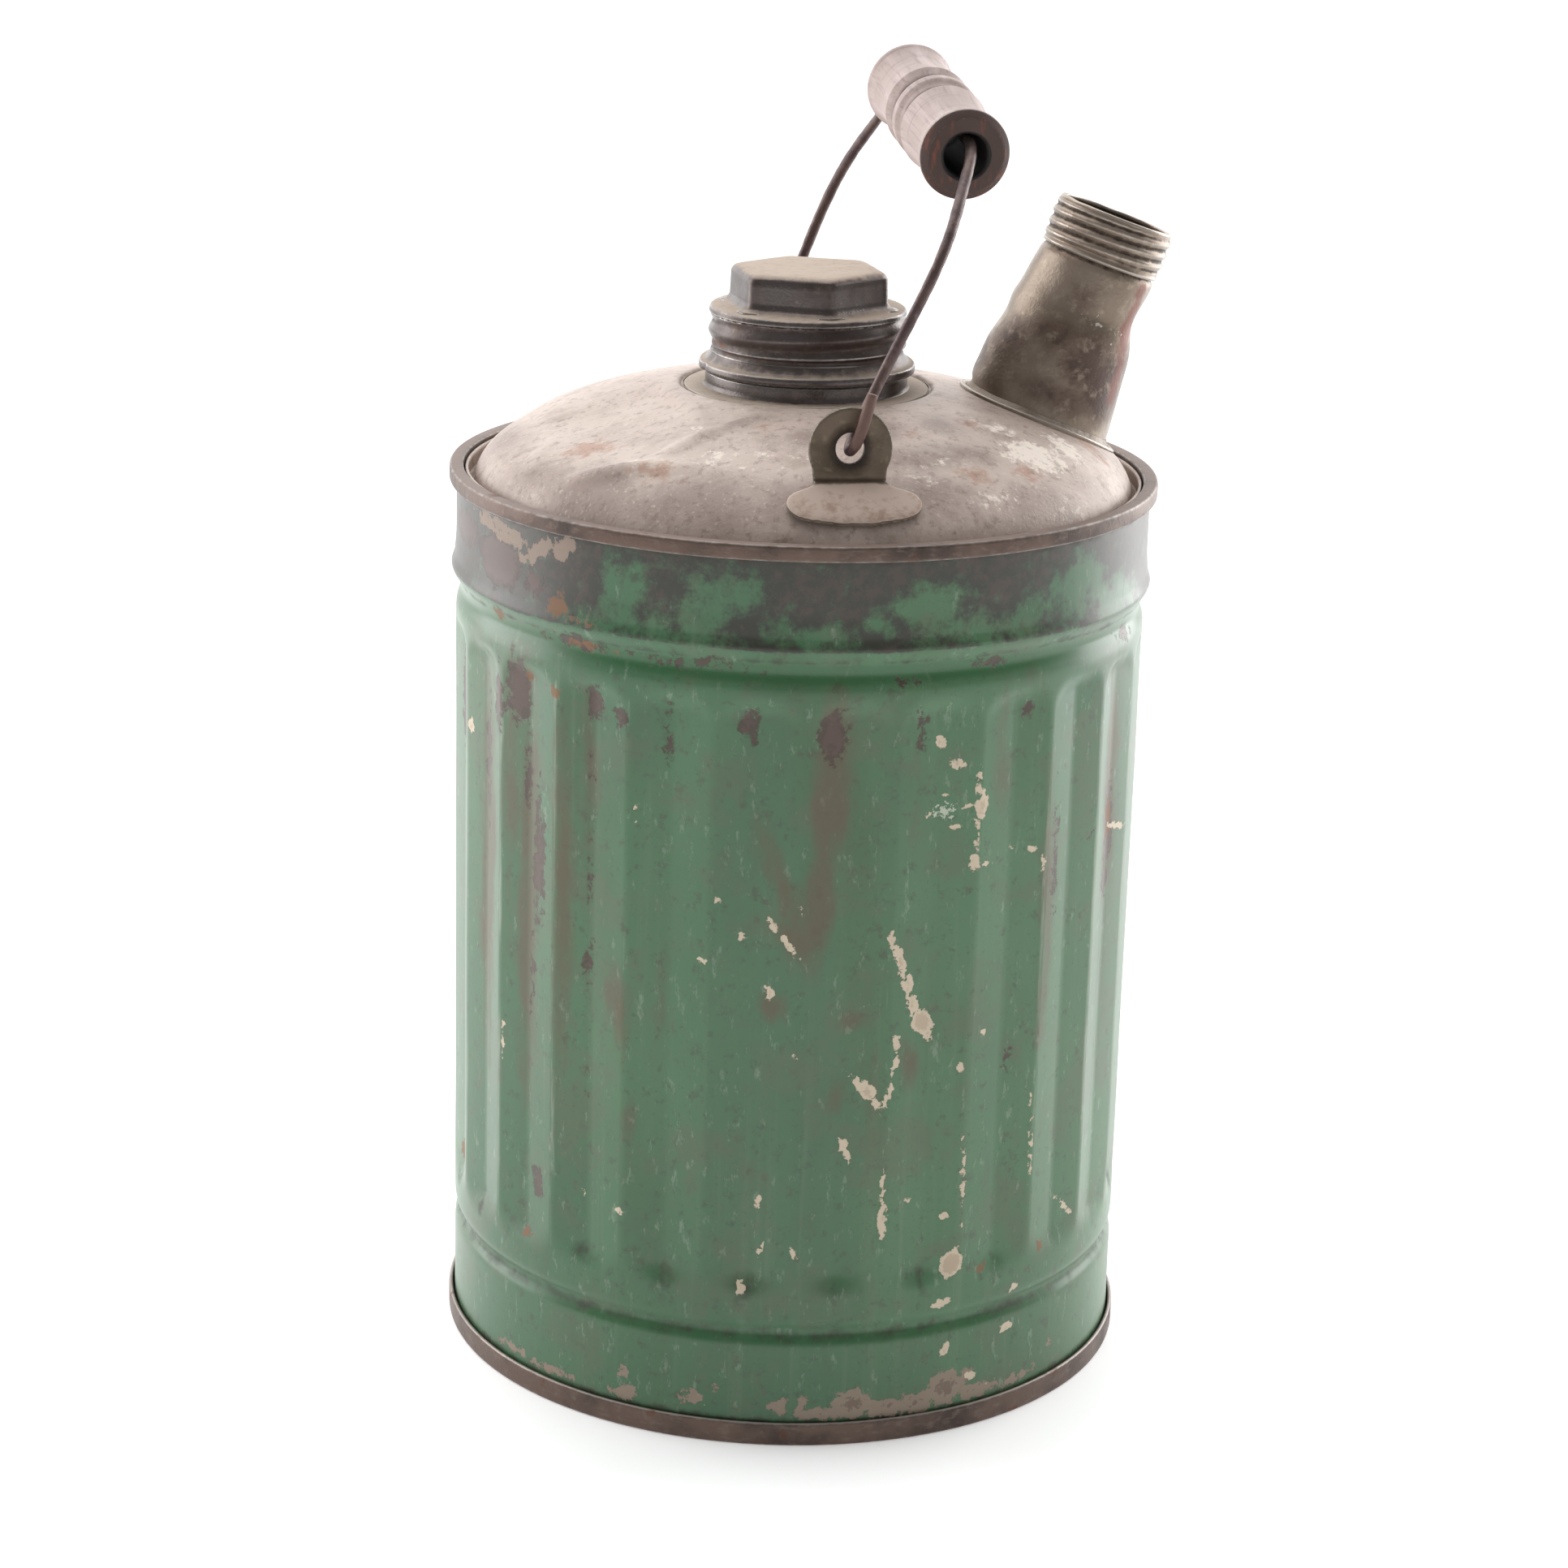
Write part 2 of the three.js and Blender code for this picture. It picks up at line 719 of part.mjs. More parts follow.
const bail = new THREE.Group();
const grip = piece("bail_grip", makeGrip(), finishes.wood);
const gripAxis = gripEnd.clone().sub(gripStart).normalize();
grip.quaternion.setFromUnitVectors(new THREE.Vector3(0, 0, 1), gripAxis);
grip.position.copy(gripStart).add(gripEnd).multiplyScalar(0.5);
bail.add(piece("bail_wire", makeWire(), finishes.wire), grip);

can.add(body, filler, spout, ears, bail);

export default can;
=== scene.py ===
import json
import math

import bmesh
import bpy
import numpy as np
from mathutils import Matrix, Quaternion, Vector


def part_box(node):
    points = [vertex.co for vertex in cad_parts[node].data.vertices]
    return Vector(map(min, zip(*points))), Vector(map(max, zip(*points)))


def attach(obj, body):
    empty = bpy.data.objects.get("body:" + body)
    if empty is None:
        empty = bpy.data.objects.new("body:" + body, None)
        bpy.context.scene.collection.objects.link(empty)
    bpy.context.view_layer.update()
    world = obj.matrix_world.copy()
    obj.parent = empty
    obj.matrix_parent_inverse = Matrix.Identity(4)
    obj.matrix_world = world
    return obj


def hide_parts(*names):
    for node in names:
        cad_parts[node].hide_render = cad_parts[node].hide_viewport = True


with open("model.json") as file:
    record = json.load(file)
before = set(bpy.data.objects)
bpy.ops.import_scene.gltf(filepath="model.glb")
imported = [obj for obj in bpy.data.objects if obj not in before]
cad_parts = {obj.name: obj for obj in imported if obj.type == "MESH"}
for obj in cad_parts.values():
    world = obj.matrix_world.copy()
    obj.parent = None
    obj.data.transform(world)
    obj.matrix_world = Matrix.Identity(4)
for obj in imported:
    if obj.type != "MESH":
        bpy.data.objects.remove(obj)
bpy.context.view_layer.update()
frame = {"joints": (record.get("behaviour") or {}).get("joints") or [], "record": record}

mm = 0.001  # everything below is in millimetres and turned to metres when a mesh is made


def linear(hexColour):
    channels = [int(hexColour[i:i + 2], 16) / 255 for i in (1, 3, 5)]
    return [c / 12.92 if c < 0.0405 else ((c + 0.055) / 1.055) ** 2.4 for c in channels] + [1]


def boxOf(node):
    low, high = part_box(node)
    return low / mm, high / mm


def smoothStep(low, high, value):
    share = np.clip((np.asarray(value, float) - low) / (high - low), 0, 1)
    return share * share * (3 - 2 * share)


def bell(value, middle, half):
    # 1 in the middle and falling away smoothly on both sides
    return np.exp(-((value - middle) / half) ** 2)


def wobble(angle, height, seed, finest=9, tall=60):
    # a few seeded waves round a piece and along it, between about -1 and 1
    dice = np.random.default_rng(seed)
    total = np.zeros(np.broadcast(angle, height).shape)
    for turns in range(1, finest + 1):
        slope, phase = dice.uniform(-6.3, 6.3) / tall, dice.uniform(0, 6.3)
        total += np.sin(turns * angle + slope * height * turns ** 0.5 + phase) / turns ** 0.7
    return total / finest ** 0.5


def rounded(corners, radius, steps=4, closed=True):
    # swaps each corner of an outline for a short curve
    corners = [Vector(c) for c in corners]
    line = []
    for i, corner in enumerate(corners):
        if not closed and i in (0, len(corners) - 1):
            line.append(tuple(corner))
            continue
        before, after = corners[i - 1] - corner, corners[(i + 1) % len(corners)] - corner
        near = min(radius, before.length * 0.45)
        far = min(radius, after.length * 0.45)
        start, end = corner + before.normalized() * near, corner + after.normalized() * far
        for k in range(steps + 1):
            t = k / steps
            line.append(tuple(start * (1 - t) ** 2 + corner * 2 * t * (1 - t) + end * t * t))
    return line


def along(line, spacing):
    # fills long stretches of a line with more points
    filled = [line[0]]
    for a, b in zip(line, line[1:]):
        parts = max(1, round(math.dist(a, b) / spacing))
        filled += [tuple(np.array(a) + (np.array(b) - a) * k / parts) for k in range(1, parts + 1)]
    return filled


def meshFrom(name, points, faces):
    mesh = bpy.data.meshes.new(name)
    mesh.from_pydata((np.asarray(points, float) * mm).tolist(), [], faces)
    mesh.validate()
    mesh.shade_smooth()
    thing = bpy.data.objects.new(name, mesh)
    bpy.context.scene.collection.objects.link(thing)
    return thing


def sheetFrom(name, rows, loop=False, startCap=False, endCap=False):
    # rows of points round a piece, joined by quads; a cap closes an end to its middle
    count, around = rows.shape[:2]
    points = list(rows.reshape(-1, 3))
    lines = count if loop else count - 1
    faces = []
    for i in range(lines):
        a, b = i * around, (i + 1) % count * around
        for j in range(around):
            k = (j + 1) % around
            faces.append((a + j, a + k, b + k, b + j))
    for wanted, row, turn in ((startCap, 0, -1), (endCap, count - 1, 1)):
        if wanted:
            points.append(rows[row].mean(0))
            ring = [(row * around + j, row * around + (j + 1) % around) for j in range(around)]
            faces += [(*pair[::turn], len(points) - 1) for pair in ring]
    return meshFrom(name, points, faces)


def turned(name, outline, around, warp=None, loop=True, ends=(False, False)):
    # outline: (radius, height) outwards along the bottom, up the outside and back
    radius, height = (np.array([p[k] for p in outline], float)[:, None] for k in (0, 1))
    angle = np.arange(around)[None, :] * math.tau / around
    radius, height = radius + 0 * angle, height + 0 * angle
    if warp:
        radius, height = warp(radius, angle, height)
    rows = np.stack([radius * np.sin(angle), -radius * np.cos(angle), height], -1)
    return sheetFrom(name, rows, loop, *ends)


def setField(thing, name, values):
    mesh = thing.data
    field = mesh.attributes.get(name) or mesh.attributes.new(name, "FLOAT", "POINT")
    field.data.foreach_set("value", np.asarray(values, np.float32))


def pointsOf(thing):
    flat = np.zeros(len(thing.data.vertices) * 3)
    thing.data.vertices.foreach_get("co", flat)
    return flat.reshape(-1, 3) / mm


def surfaceFields(thing):
    # "up" is how far the surface faces the sky at rest, "edge" how convex it is
    mesh = thing.data
    normals, ends = np.zeros(len(mesh.vertices) * 3), np.zeros(len(mesh.edges) * 2, int)
    mesh.vertex_normals.foreach_get("vector", normals)
    mesh.edges.foreach_get("vertices", ends)
    normals, ends, points = normals.reshape(-1, 3), ends.reshape(-1, 2), pointsOf(thing)
    convex, count = np.zeros(len(points)), np.zeros(len(points))
    for a, b in (ends.T, ends.T[::-1]):
        away = points[a] - points[b]
        step = (normals[a] * away).sum(1) / np.maximum((away ** 2).sum(1), 1e-6)
        np.add.at(convex, a, step)
        np.add.at(count, a, 1)
    turn = np.array(thing.matrix_world.to_3x3())
    setField(thing, "up", (normals @ turn.T)[:, 2])
    setField(thing, "edge", np.clip(convex / np.maximum(count, 1), -2, 2))


def spots(across, high, marks):
    # how deep a point lies in the nearest of the marks, in mm: (place, place, half widths, tilt)
    depth = np.full(np.shape(across), -4.0)
    for x, y, halfX, halfY, tilt in marks:
        turn = math.radians(tilt)
        u, v = across - x, high - y
        a = (u * math.cos(turn) + v * math.sin(turn)) / halfX
        b = (v * math.cos(turn) - u * math.sin(turn)) / halfY
        depth = np.maximum(depth, (1 - np.hypot(a, b)) * min(halfX, halfY))
    return depth


def addThickness(thing, thickness):
    skin = thing.modifiers.new("thickness", "SOLIDIFY")
    skin.thickness, skin.offset = thickness * mm, -1
    skin.use_even_offset = True


def place(thing, body, nodes, material):
    surfaceFields(thing)
    thing.data.materials.append(material)
    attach(thing, body)
    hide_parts(*nodes)
    print("  made", thing.name, len(thing.data.vertices), "points")


def addNode(tree, kind, inputs=None, **settings):
    made = tree.nodes.new("ShaderNode" + kind)
    for name, value in settings.items():
        setattr(made, name, value)
    for name, value in (inputs or {}).items():
        if isinstance(value, bpy.types.Node):
            value = value.outputs[0]
        if isinstance(value, bpy.types.NodeSocket):
            tree.links.new(value, made.inputs[name])
        else:
            made.inputs[name].default_value = value
    return made


def layered(name, base, layers):
    # Each layer's mask is its field plus a noise of a size in mm, between "low" and "high".
    # Layers over the base change the colour, and where they say so the finish and the relief.
    material = bpy.data.materials.new(name)
    material.use_nodes = True
    tree = material.node_tree
    shader = tree.nodes["Principled BSDF"]
    spot = addNode(tree, "TexCoord").outputs["Object"]
    if "place" in base:
        spot = addNode(tree, "Attribute", attribute_name=base["place"]).outputs["Vector"]
    made = {"Base Color": linear(base["colour"]), "Roughness": base["rough"],
            "Metallic": base.get("metal", 0), "Coat Weight": base.get("coat", 0),
            "Coat Roughness": 0.2}
    relief = None
    for number, layer in enumerate(layers):
        scale = [stretch / (layer["size"] * mm) for stretch in layer.get("stretch", (1, 1, 1))]
        shifted = addNode(tree, "Mapping", {"Vector": spot, "Scale": scale,
                                            "Location": (number * 7.3, number * 3.1, number * 5.7)})
        noise = addNode(tree, "TexNoise", {"Vector": shifted, "Scale": 1,
                                           "Detail": layer.get("detail", 4),
                                           "Roughness": layer.get("ragged", 0.55)})
        value = noise
        if "field" in layer:
            field = addNode(tree, "Attribute", attribute_name=layer["field"]).outputs["Fac"]
            weight = layer.get("weight", 1)
            lifted = addNode(tree, "Math", {0: noise, 1: weight, 2: -weight / 2}, operation="MULTIPLY_ADD")
            value = addNode(tree, "Math", {0: lifted, 1: field})
        mask = addNode(tree, "MapRange", {"Value": value, "From Min": layer["low"],
                                          "From Max": layer["high"], "To Max": layer.get("amount", 1)},
                       interpolation_type="SMOOTHSTEP")
        if "colour" in layer:
            made["Base Color"] = addNode(tree, "MixRGB", {"Fac": mask, "Color1": made["Base Color"],
                                                          "Color2": linear(layer["colour"])})
        for socket, word in (("Roughness", "rough"), ("Metallic", "metal")):
            if word in layer:
                grey = made[socket]
                if not isinstance(grey, bpy.types.Node):
                    grey = [grey] * 3 + [1]
                made[socket] = addNode(tree, "MixRGB", {"Fac": mask, "Color1": grey,
                                                        "Color2": [layer[word]] * 3 + [1]})
        if "raise" in layer:
            relief = addNode(tree, "Math", {0: mask, 1: layer["raise"], 2: relief or 0.0},
                             operation="MULTIPLY_ADD")
    for socket, value in made.items():
        if isinstance(value, bpy.types.Node):
            tree.links.new(value.outputs[0], shader.inputs[socket])
        else:
            shader.inputs[socket].default_value = value
    if relief:
        bump = addNode(tree, "Bump", {"Height": relief, "Distance": mm, "Strength": 1.0})
        tree.links.new(bump.outputs[0], shader.inputs["Normal"])
    return material


def wornEnamel():
    # brushed green enamel, sun-dulled: satin, streaked down the flutes, chipped to its cream
    # undercoat, grimy on the top band and rubbed through to brown tinplate; its finest pitting is
    # drawn 1.1 mm wide so that it shows
    return layered("wornEnamel", {"colour": "#3a6343", "rough": 0.34, "coat": 0.2}, [
        {"size": 55, "stretch": (1, 1, 0.4), "low": 0.35, "high": 0.7, "colour": "#47704c"},
        {"size": 22, "stretch": (1, 1, 0.25), "low": 0.5, "high": 0.75, "colour": "#3a5a34", "amount": 0.6},
        {"size": 4, "stretch": (1, 1, 0.03), "low": 0.52, "high": 0.8, "colour": "#738369", "amount": 0.3,
         "rough": 0.5},
        {"size": 7, "stretch": (1, 1, 0.5), "low": 0.56, "high": 0.78, "colour": "#4b4f3c", "amount": 0.45,
         "detail": 9, "ragged": 0.65},
        {"size": 1.1, "low": 0.56, "high": 0.8, "colour": "#344a33", "amount": 0.4, "raise": 0.01},
        {"size": 3.2, "low": 0.54, "high": 0.66, "colour": "#3b3a2c", "amount": 0.5, "detail": 11,
         "ragged": 0.72},
        {"size": 16, "low": 0.47, "high": 0.64, "colour": "#565c46", "amount": 0.45, "detail": 10,
         "ragged": 0.66},
        {"size": 2.4, "stretch": (1, 1, 0.4), "low": 0.57, "high": 0.68, "colour": "#8fa08c", "amount": 0.4,
         "detail": 11, "ragged": 0.72},
        # real paint worn off the flute ridges, with painted highlights: the ridges lighter towards the sides,
        # and light lines along the bead
        {"field": "wearAndPaintedLight", "size": 2.2, "stretch": (1, 1, 0.1), "weight": 2.4, "low": 0.5, "high": 1.2,
         "colour": "#97a08d", "amount": 0.65, "rough": 0.45, "detail": 7},
        {"field": "stain", "size": 5, "stretch": (1, 1, 0.3), "weight": 9, "low": -1.4, "high": 3.0,
         "colour": "#5c4835", "amount": 0.68, "rough": 0.5, "detail": 9, "ragged": 0.65},
        {"field": "band", "size": 6, "weight": 6.5, "low": -0.4, "high": 1.1, "colour": "#2a261f",
         "amount": 0.93, "rough": 0.38, "detail": 12, "ragged": 0.7},
        {"field": "band", "size": 2.4, "weight": 4.5, "low": 0.7, "high": 1.8, "colour": "#4a3b35",
         "amount": 0.7, "rough": 0.42, "detail": 9, "ragged": 0.65},
        # painted shade: the rolled grooves darkened to a deeper, more saturated green
        {"field": "deep", "size": 6, "weight": 0.5, "low": 0.2, "high": 0.9, "colour": "#245a2e",
         "amount": 0.7, "rough": 0.28},
        # painted shade: the grooves, the flute ends and the edges under the rims darkened to near black
        {"field": "shadeAndGrime", "size": 4, "weight": 1.7, "low": 0.25, "high": 1.0, "colour": "#2f2a20",
         "amount": 0.85, "rough": 0.65, "detail": 7},
        {"field": "bare", "size": 3.0, "weight": 11, "low": 0.3, "high": 1.3, "colour": "#46352f",
         "amount": 0.92, "rough": 0.42, "metal": 0.25, "raise": -0.04, "detail": 10, "ragged": 0.7},
        {"field": "bare", "size": 1.6, "weight": 7, "low": 1.3, "high": 2.2, "colour": "#5a4740",
         "amount": 0.5, "detail": 8},
        {"field": "rust", "size": 2.2, "weight": 7, "low": 0.5, "high": 1.3, "colour": "#7f5b40",
         "amount": 0.85, "rough": 0.8, "metal": 0.0, "raise": 0.03, "detail": 9, "ragged": 0.65},
        {"field": "primer", "size": 2.6, "weight": 6.5, "low": -0.2, "high": 0.15, "colour": "#907c6d",
         "amount": 0.88, "rough": 0.6, "raise": -0.05, "detail": 10, "ragged": 0.68},
        {"field": "primer", "size": 1.2, "weight": 7, "low": 1.8, "high": 2.4, "colour": "#5c473a",
         "amount": 0.6, "detail": 8},
        {"field": "flecks", "size": 1.3, "weight": 15, "low": 4.1, "high": 4.5, "colour": "#b4bca9",
         "rough": 0.55, "raise": -0.03, "detail": 9, "ragged": 0.65},
        {"field": "chip", "size": 1.7, "weight": 3.2, "low": -0.06, "high": 0.12, "colour": "#c9baa2",
         "rough": 0.5, "metal": 0.0, "raise": -0.07, "detail": 9, "ragged": 0.62},
        {"field": "chip", "size": 0.7, "weight": 2, "low": 0.55, "high": 1.1, "colour": "#a8937a",
         "amount": 0.6, "detail": 6},
    ])


def oxidisedSteel():
    # the double seams: dark oxidised tinplate, its outer edge rubbed to grey metal
    return layered("oxidisedSteel", {"colour": "#645249", "rough": 0.42, "metal": 0.5}, [
        {"size": 14, "low": 0.4, "high": 0.7, "colour": "#453934", "rough": 0.5},
        {"size": 3, "stretch": (1, 1, 2), "low": 0.5, "high": 0.75, "colour": "#77685f", "amount": 0.6,
         "raise": 0.03},
        {"field": "up", "size": 4, "weight": 0.9, "low": 0.5, "high": 1.0, "colour": "#816f66",
         "amount": 0.7, "rough": 0.6, "metal": 0.2},
        {"field": "edge", "size": 2, "weight": 0.5, "low": 0.25, "high": 0.6, "colour": "#a8a19b",
         "amount": 0.6, "rough": 0.3},
        {"size": 6, "low": 0.62, "high": 0.72, "colour": "#6b4836", "amount": 0.6, "rough": 0.8},
        {"size": 1.4, "low": 0.5, "high": 0.7, "raise": 0.03},
    ])


def dustyTinplate():
    # tinplate under years of dry dust: matt and beige, with brown oxide showing through and
    # pale bloom where damp has dried
    return layered("dustyTinplate", {"colour": "#baa99f", "rough": 0.5, "metal": 0.15}, [
        {"size": 26, "low": 0.4, "high": 0.7, "colour": "#cdbfb4", "amount": 0.8, "detail": 7},
        {"size": 8, "low": 0.48, "high": 0.7, "colour": "#99877b", "amount": 0.6, "detail": 9,
         "ragged": 0.65},
        {"field": "shade", "size": 12, "weight": 14, "low": -4.2, "high": 4.5, "colour": "#75625a",
         "amount": 0.64, "rough": 0.45, "detail": 10, "ragged": 0.65},
        {"field": "bloom", "size": 2.4, "weight": 16, "low": 0.9, "high": 3.4, "colour": "#ece1d6",
         "amount": 0.85, "rough": 0.75, "detail": 10, "ragged": 0.68, "raise": 0.03},
        {"field": "rust", "size": 3, "weight": 12, "low": 0.5, "high": 4.0, "colour": "#a47a63",
         "amount": 0.6, "rough": 0.7, "detail": 9, "ragged": 0.65},
        {"size": 2.2, "low": 0.52, "high": 0.64, "colour": "#6f5d51", "amount": 0.45, "detail": 9,
         "ragged": 0.7},
        {"size": 1.0, "low": 0.57, "high": 0.72, "colour": "#cfc3b6", "amount": 0.45, "detail": 8},
        {"field": "shadeAndGrime", "size": 4, "weight": 0.8, "low": 0.3, "high": 0.8, "colour": "#7b6a5b",
         "amount": 0.8, "rough": 0.8, "detail": 7},
        {"field": "edge", "size": 2, "weight": 0.1, "low": 0.05, "high": 0.18, "colour": "#cfc2b8",
         "amount": 0.5},
        {"size": 0.8, "low": 0.3, "high": 0.8, "raise": 0.03, "detail": 6},
    ])


def bronzedSteel():
    # pressed cap and neck: dark bronze-grey satin metal, bright where hands rub it, dust on top, painted
    # shade in the thread roots and over the hem, rust in the grooves
    return layered("bronzedSteel", {"colour": "#5c5553", "rough": 0.27, "metal": 0.75}, [
        {"size": 12, "low": 0.42, "high": 0.7, "colour": "#4a403d", "rough": 0.33, "detail": 7},
        {"size": 3, "low": 0.5, "high": 0.75, "colour": "#6a5e54", "amount": 0.5, "detail": 7},
        {"field": "edge", "size": 1.5, "weight": 0.35, "low": 0.2, "high": 0.55, "colour": "#a9a5a3",
         "amount": 0.8, "rough": 0.22, "metal": 0.85},
        # painted shade: thread roots and the hollow over the hem darkened; the next layer is rust in the same
        # grooves
        {"field": "groove", "size": 2.6, "weight": 1.2, "low": 0.3, "high": 0.9, "colour": "#3d2b22",
         "amount": 0.85, "rough": 0.6, "metal": 0.3, "detail": 7},
        {"field": "groove", "size": 4, "stretch": (1, 1, 2), "weight": 1.6, "low": 0.75, "high": 1.1,
         "colour": "#7a4c33", "amount": 0.7, "rough": 0.7},
        {"field": "up", "size": 2.2, "weight": 0.7, "low": 0.55, "high": 1.05, "colour": "#b7a696",
         "amount": 0.92, "rough": 0.8, "metal": 0.0, "raise": 0.02, "detail": 9, "ragged": 0.65},
        {"size": 0.8, "low": 0.6, "high": 0.74, "colour": "#b5a899", "amount": 0.2, "detail": 6},
        {"size": 0.7, "low": 0.3, "high": 0.8, "raise": 0.02},
    ])


def stainedTinplate():
    # spout: silvery tinplate gone beige, stained dark brown by fuel and thumbed bare in places, with painted
    # shade at its foot, under the collar and in the thread roots
    return layered("stainedTinplate", {"colour": "#8d7f72", "rough": 0.33, "metal": 0.6}, [
        {"size": 18, "stretch": (1, 1, 0.8), "low": 0.4, "high": 0.65, "colour": "#7a6c5e", "detail": 7},
        {"field": "brown", "size": 7, "weight": 9, "low": -1.6, "high": 2.2, "colour": "#59473d",
         "amount": 0.74, "rough": 0.45, "metal": 0.35, "detail": 10, "ragged": 0.68},
        {"field": "brown", "size": 2.6, "weight": 10, "low": 1.5, "high": 4.5, "colour": "#44312d",
         "amount": 0.7, "detail": 9},
        {"size": 3, "low": 0.52, "high": 0.7, "colour": "#a09282", "amount": 0.55, "detail": 9,
         "ragged": 0.65},
        {"field": "red", "size": 3, "weight": 5, "low": -0.4, "high": 1.4, "colour": "#764338",
         "amount": 0.75, "rough": 0.55, "metal": 0.2, "detail": 8},
        {"field": "scratch", "size": 0.9, "weight": 3, "low": 0.1, "high": 0.5, "colour": "#cdc6bd",
         "rough": 0.3, "detail": 8},
        {"field": "edge", "size": 1.2, "weight": 0.4, "low": 0.2, "high": 0.5, "colour": "#b5ada5",
         "amount": 0.8, "rough": 0.25},
        # painted shade: the foot, the step under the collar and the thread roots darkened
        {"field": "groove", "size": 2, "weight": 0.9, "low": 0.35, "high": 0.8, "colour": "#33271f",
         "amount": 0.9, "rough": 0.6},
        {"field": "up", "size": 2, "weight": 0.6, "low": 0.6, "high": 1.1, "colour": "#b5a795",
         "amount": 0.6, "rough": 0.7},
        {"size": 0.8, "low": 0.35, "high": 0.75, "raise": 0.03, "detail": 6},
    ])


def oldSolder():
    # lead-tin solder run in by hand: dull grey, lumpy, with flux-brown hollows
    return layered("oldSolder", {"colour": "#8f857b", "rough": 0.5, "metal": 0.5}, [
        {"size": 5, "low": 0.45, "high": 0.7, "colour": "#6e6258", "rough": 0.65},
        {"field": "up", "size": 2, "weight": 0.8, "low": 0.3, "high": 0.9, "colour": "#b0a294",
         "amount": 0.7, "rough": 0.8},
        {"size": 1.5, "low": 0.3, "high": 0.75, "raise": 0.12},
    ])


def oliveTinplate():
    # ears: tinplate browned to olive, with dust on the foot and painted shade in the dish round the eye
    return layered("oliveTinplate", {"colour": "#66584a", "rough": 0.45, "metal": 0.45}, [
        {"size": 7, "low": 0.42, "high": 0.66, "colour": "#54483a", "rough": 0.55},
        {"size": 2, "low": 0.55, "high": 0.72, "colour": "#7c7059", "amount": 0.6},
        # painted shade: the dish round the eye darkened
        {"field": "eye", "size": 3, "weight": 0.5, "low": 0.3, "high": 0.9, "colour": "#2f2621",
         "amount": 0.85, "rough": 0.6},
        {"field": "edge", "size": 1, "weight": 0.4, "low": 0.3, "high": 0.8, "colour": "#a5a097",
         "amount": 0.6, "rough": 0.3},
        {"field": "foot", "size": 2.4, "weight": 0.6, "low": 0.2, "high": 0.6, "colour": "#c6b2a5",
         "amount": 0.92, "rough": 0.8, "metal": 0.1, "detail": 8},
        {"field": "foot", "size": 2.6, "weight": 2.6, "low": 0.75, "high": 1.5, "colour": "#8c6f5b",
         "amount": 0.6, "rough": 0.85, "raise": 0.03, "detail": 9, "ragged": 0.65},
        {"size": 0.6, "low": 0.3, "high": 0.8, "raise": 0.02},
    ])


def brownedWire():
    # drawn steel wire gone brown, darker than the tin and rusty at its cut ends
    return layered("brownedWire", {"colour": "#5b4a46", "rough": 0.38, "metal": 0.5}, [
        {"size": 9, "low": 0.42, "high": 0.68, "colour": "#46363a", "rough": 0.45},
        {"size": 1.4, "stretch": (1, 1, 0.4), "low": 0.55, "high": 0.75, "colour": "#7d6b64",
         "amount": 0.5},
        {"field": "tail", "size": 2, "weight": 0.8, "low": 0.4, "high": 0.9, "colour": "#6b5148",
         "amount": 0.85, "rough": 0.65, "metal": 0.2},
        {"field": "up", "size": 1, "weight": 0.6, "low": 0.5, "high": 1.1, "colour": "#8f8079",
         "amount": 0.5, "rough": 0.6},
        {"size": 0.5, "low": 0.35, "high": 0.75, "raise": 0.03},
    ])


def weatheredBeech():
    # turned beech whose varnish has gone: greyed and dusty outside, red-brown on its end grain, with painted
    # shade in its grooves and a painted near-black bore
    return layered("weatheredBeech", {"colour": "#a8958f", "rough": 0.55, "place": "grain"}, [
        {"size": 5, "stretch": (1, 1, 0.05), "low": 0.42, "high": 0.7, "colour": "#bfadaa"},
        {"size": 0.9, "stretch": (1, 1, 0.04), "low": 0.5, "high": 0.72, "colour": "#85726f",
         "amount": 0.55, "raise": -0.03},
        {"size": 3, "stretch": (0.15, 0.15, 2.5), "low": 0.55, "high": 0.75, "colour": "#77686a",
         "amount": 0.4},
        # painted shade in the turned grooves
        {"field": "groove", "size": 2, "weight": 0.5, "low": 0.3, "high": 0.9, "colour": "#5d4b48",
         "amount": 0.9, "rough": 0.75},
        {"field": "endGrain", "size": 3, "stretch": (1, 1, 1), "weight": 0.4, "low": 0.4, "high": 0.8,
         "colour": "#4a3833", "rough": 0.7},
        {"field": "endGrain", "size": 1.6, "stretch": (1, 0.25, 1), "weight": 1.6, "low": 1.05, "high": 1.3,
         "colour": "#7a4636", "amount": 0.8},
        {"field": "edge", "size": 1, "weight": 0.4, "low": 0.25, "high": 0.6, "colour": "#a8918a",
         "amount": 0.5, "rough": 0.5},
        # painted shade: the bore darkened to near black
        {"field": "bore", "size": 2, "weight": 0.2, "low": 0.4, "high": 0.7, "colour": "#171312"},
        {"size": 0.35, "stretch": (1, 1, 0.15), "low": 0.35, "high": 0.7, "raise": 0.02},
    ])


def agedRubber():
    # sealing ring: hard black rubber, matt and slightly powdery
    return layered("agedRubber", {"colour": "#2c2826", "rough": 0.8}, [
        {"size": 3, "low": 0.5, "high": 0.75, "colour": "#3c3733"},
        {"size": 0.6, "low": 0.4, "high": 0.7, "raise": 0.03},
    ])


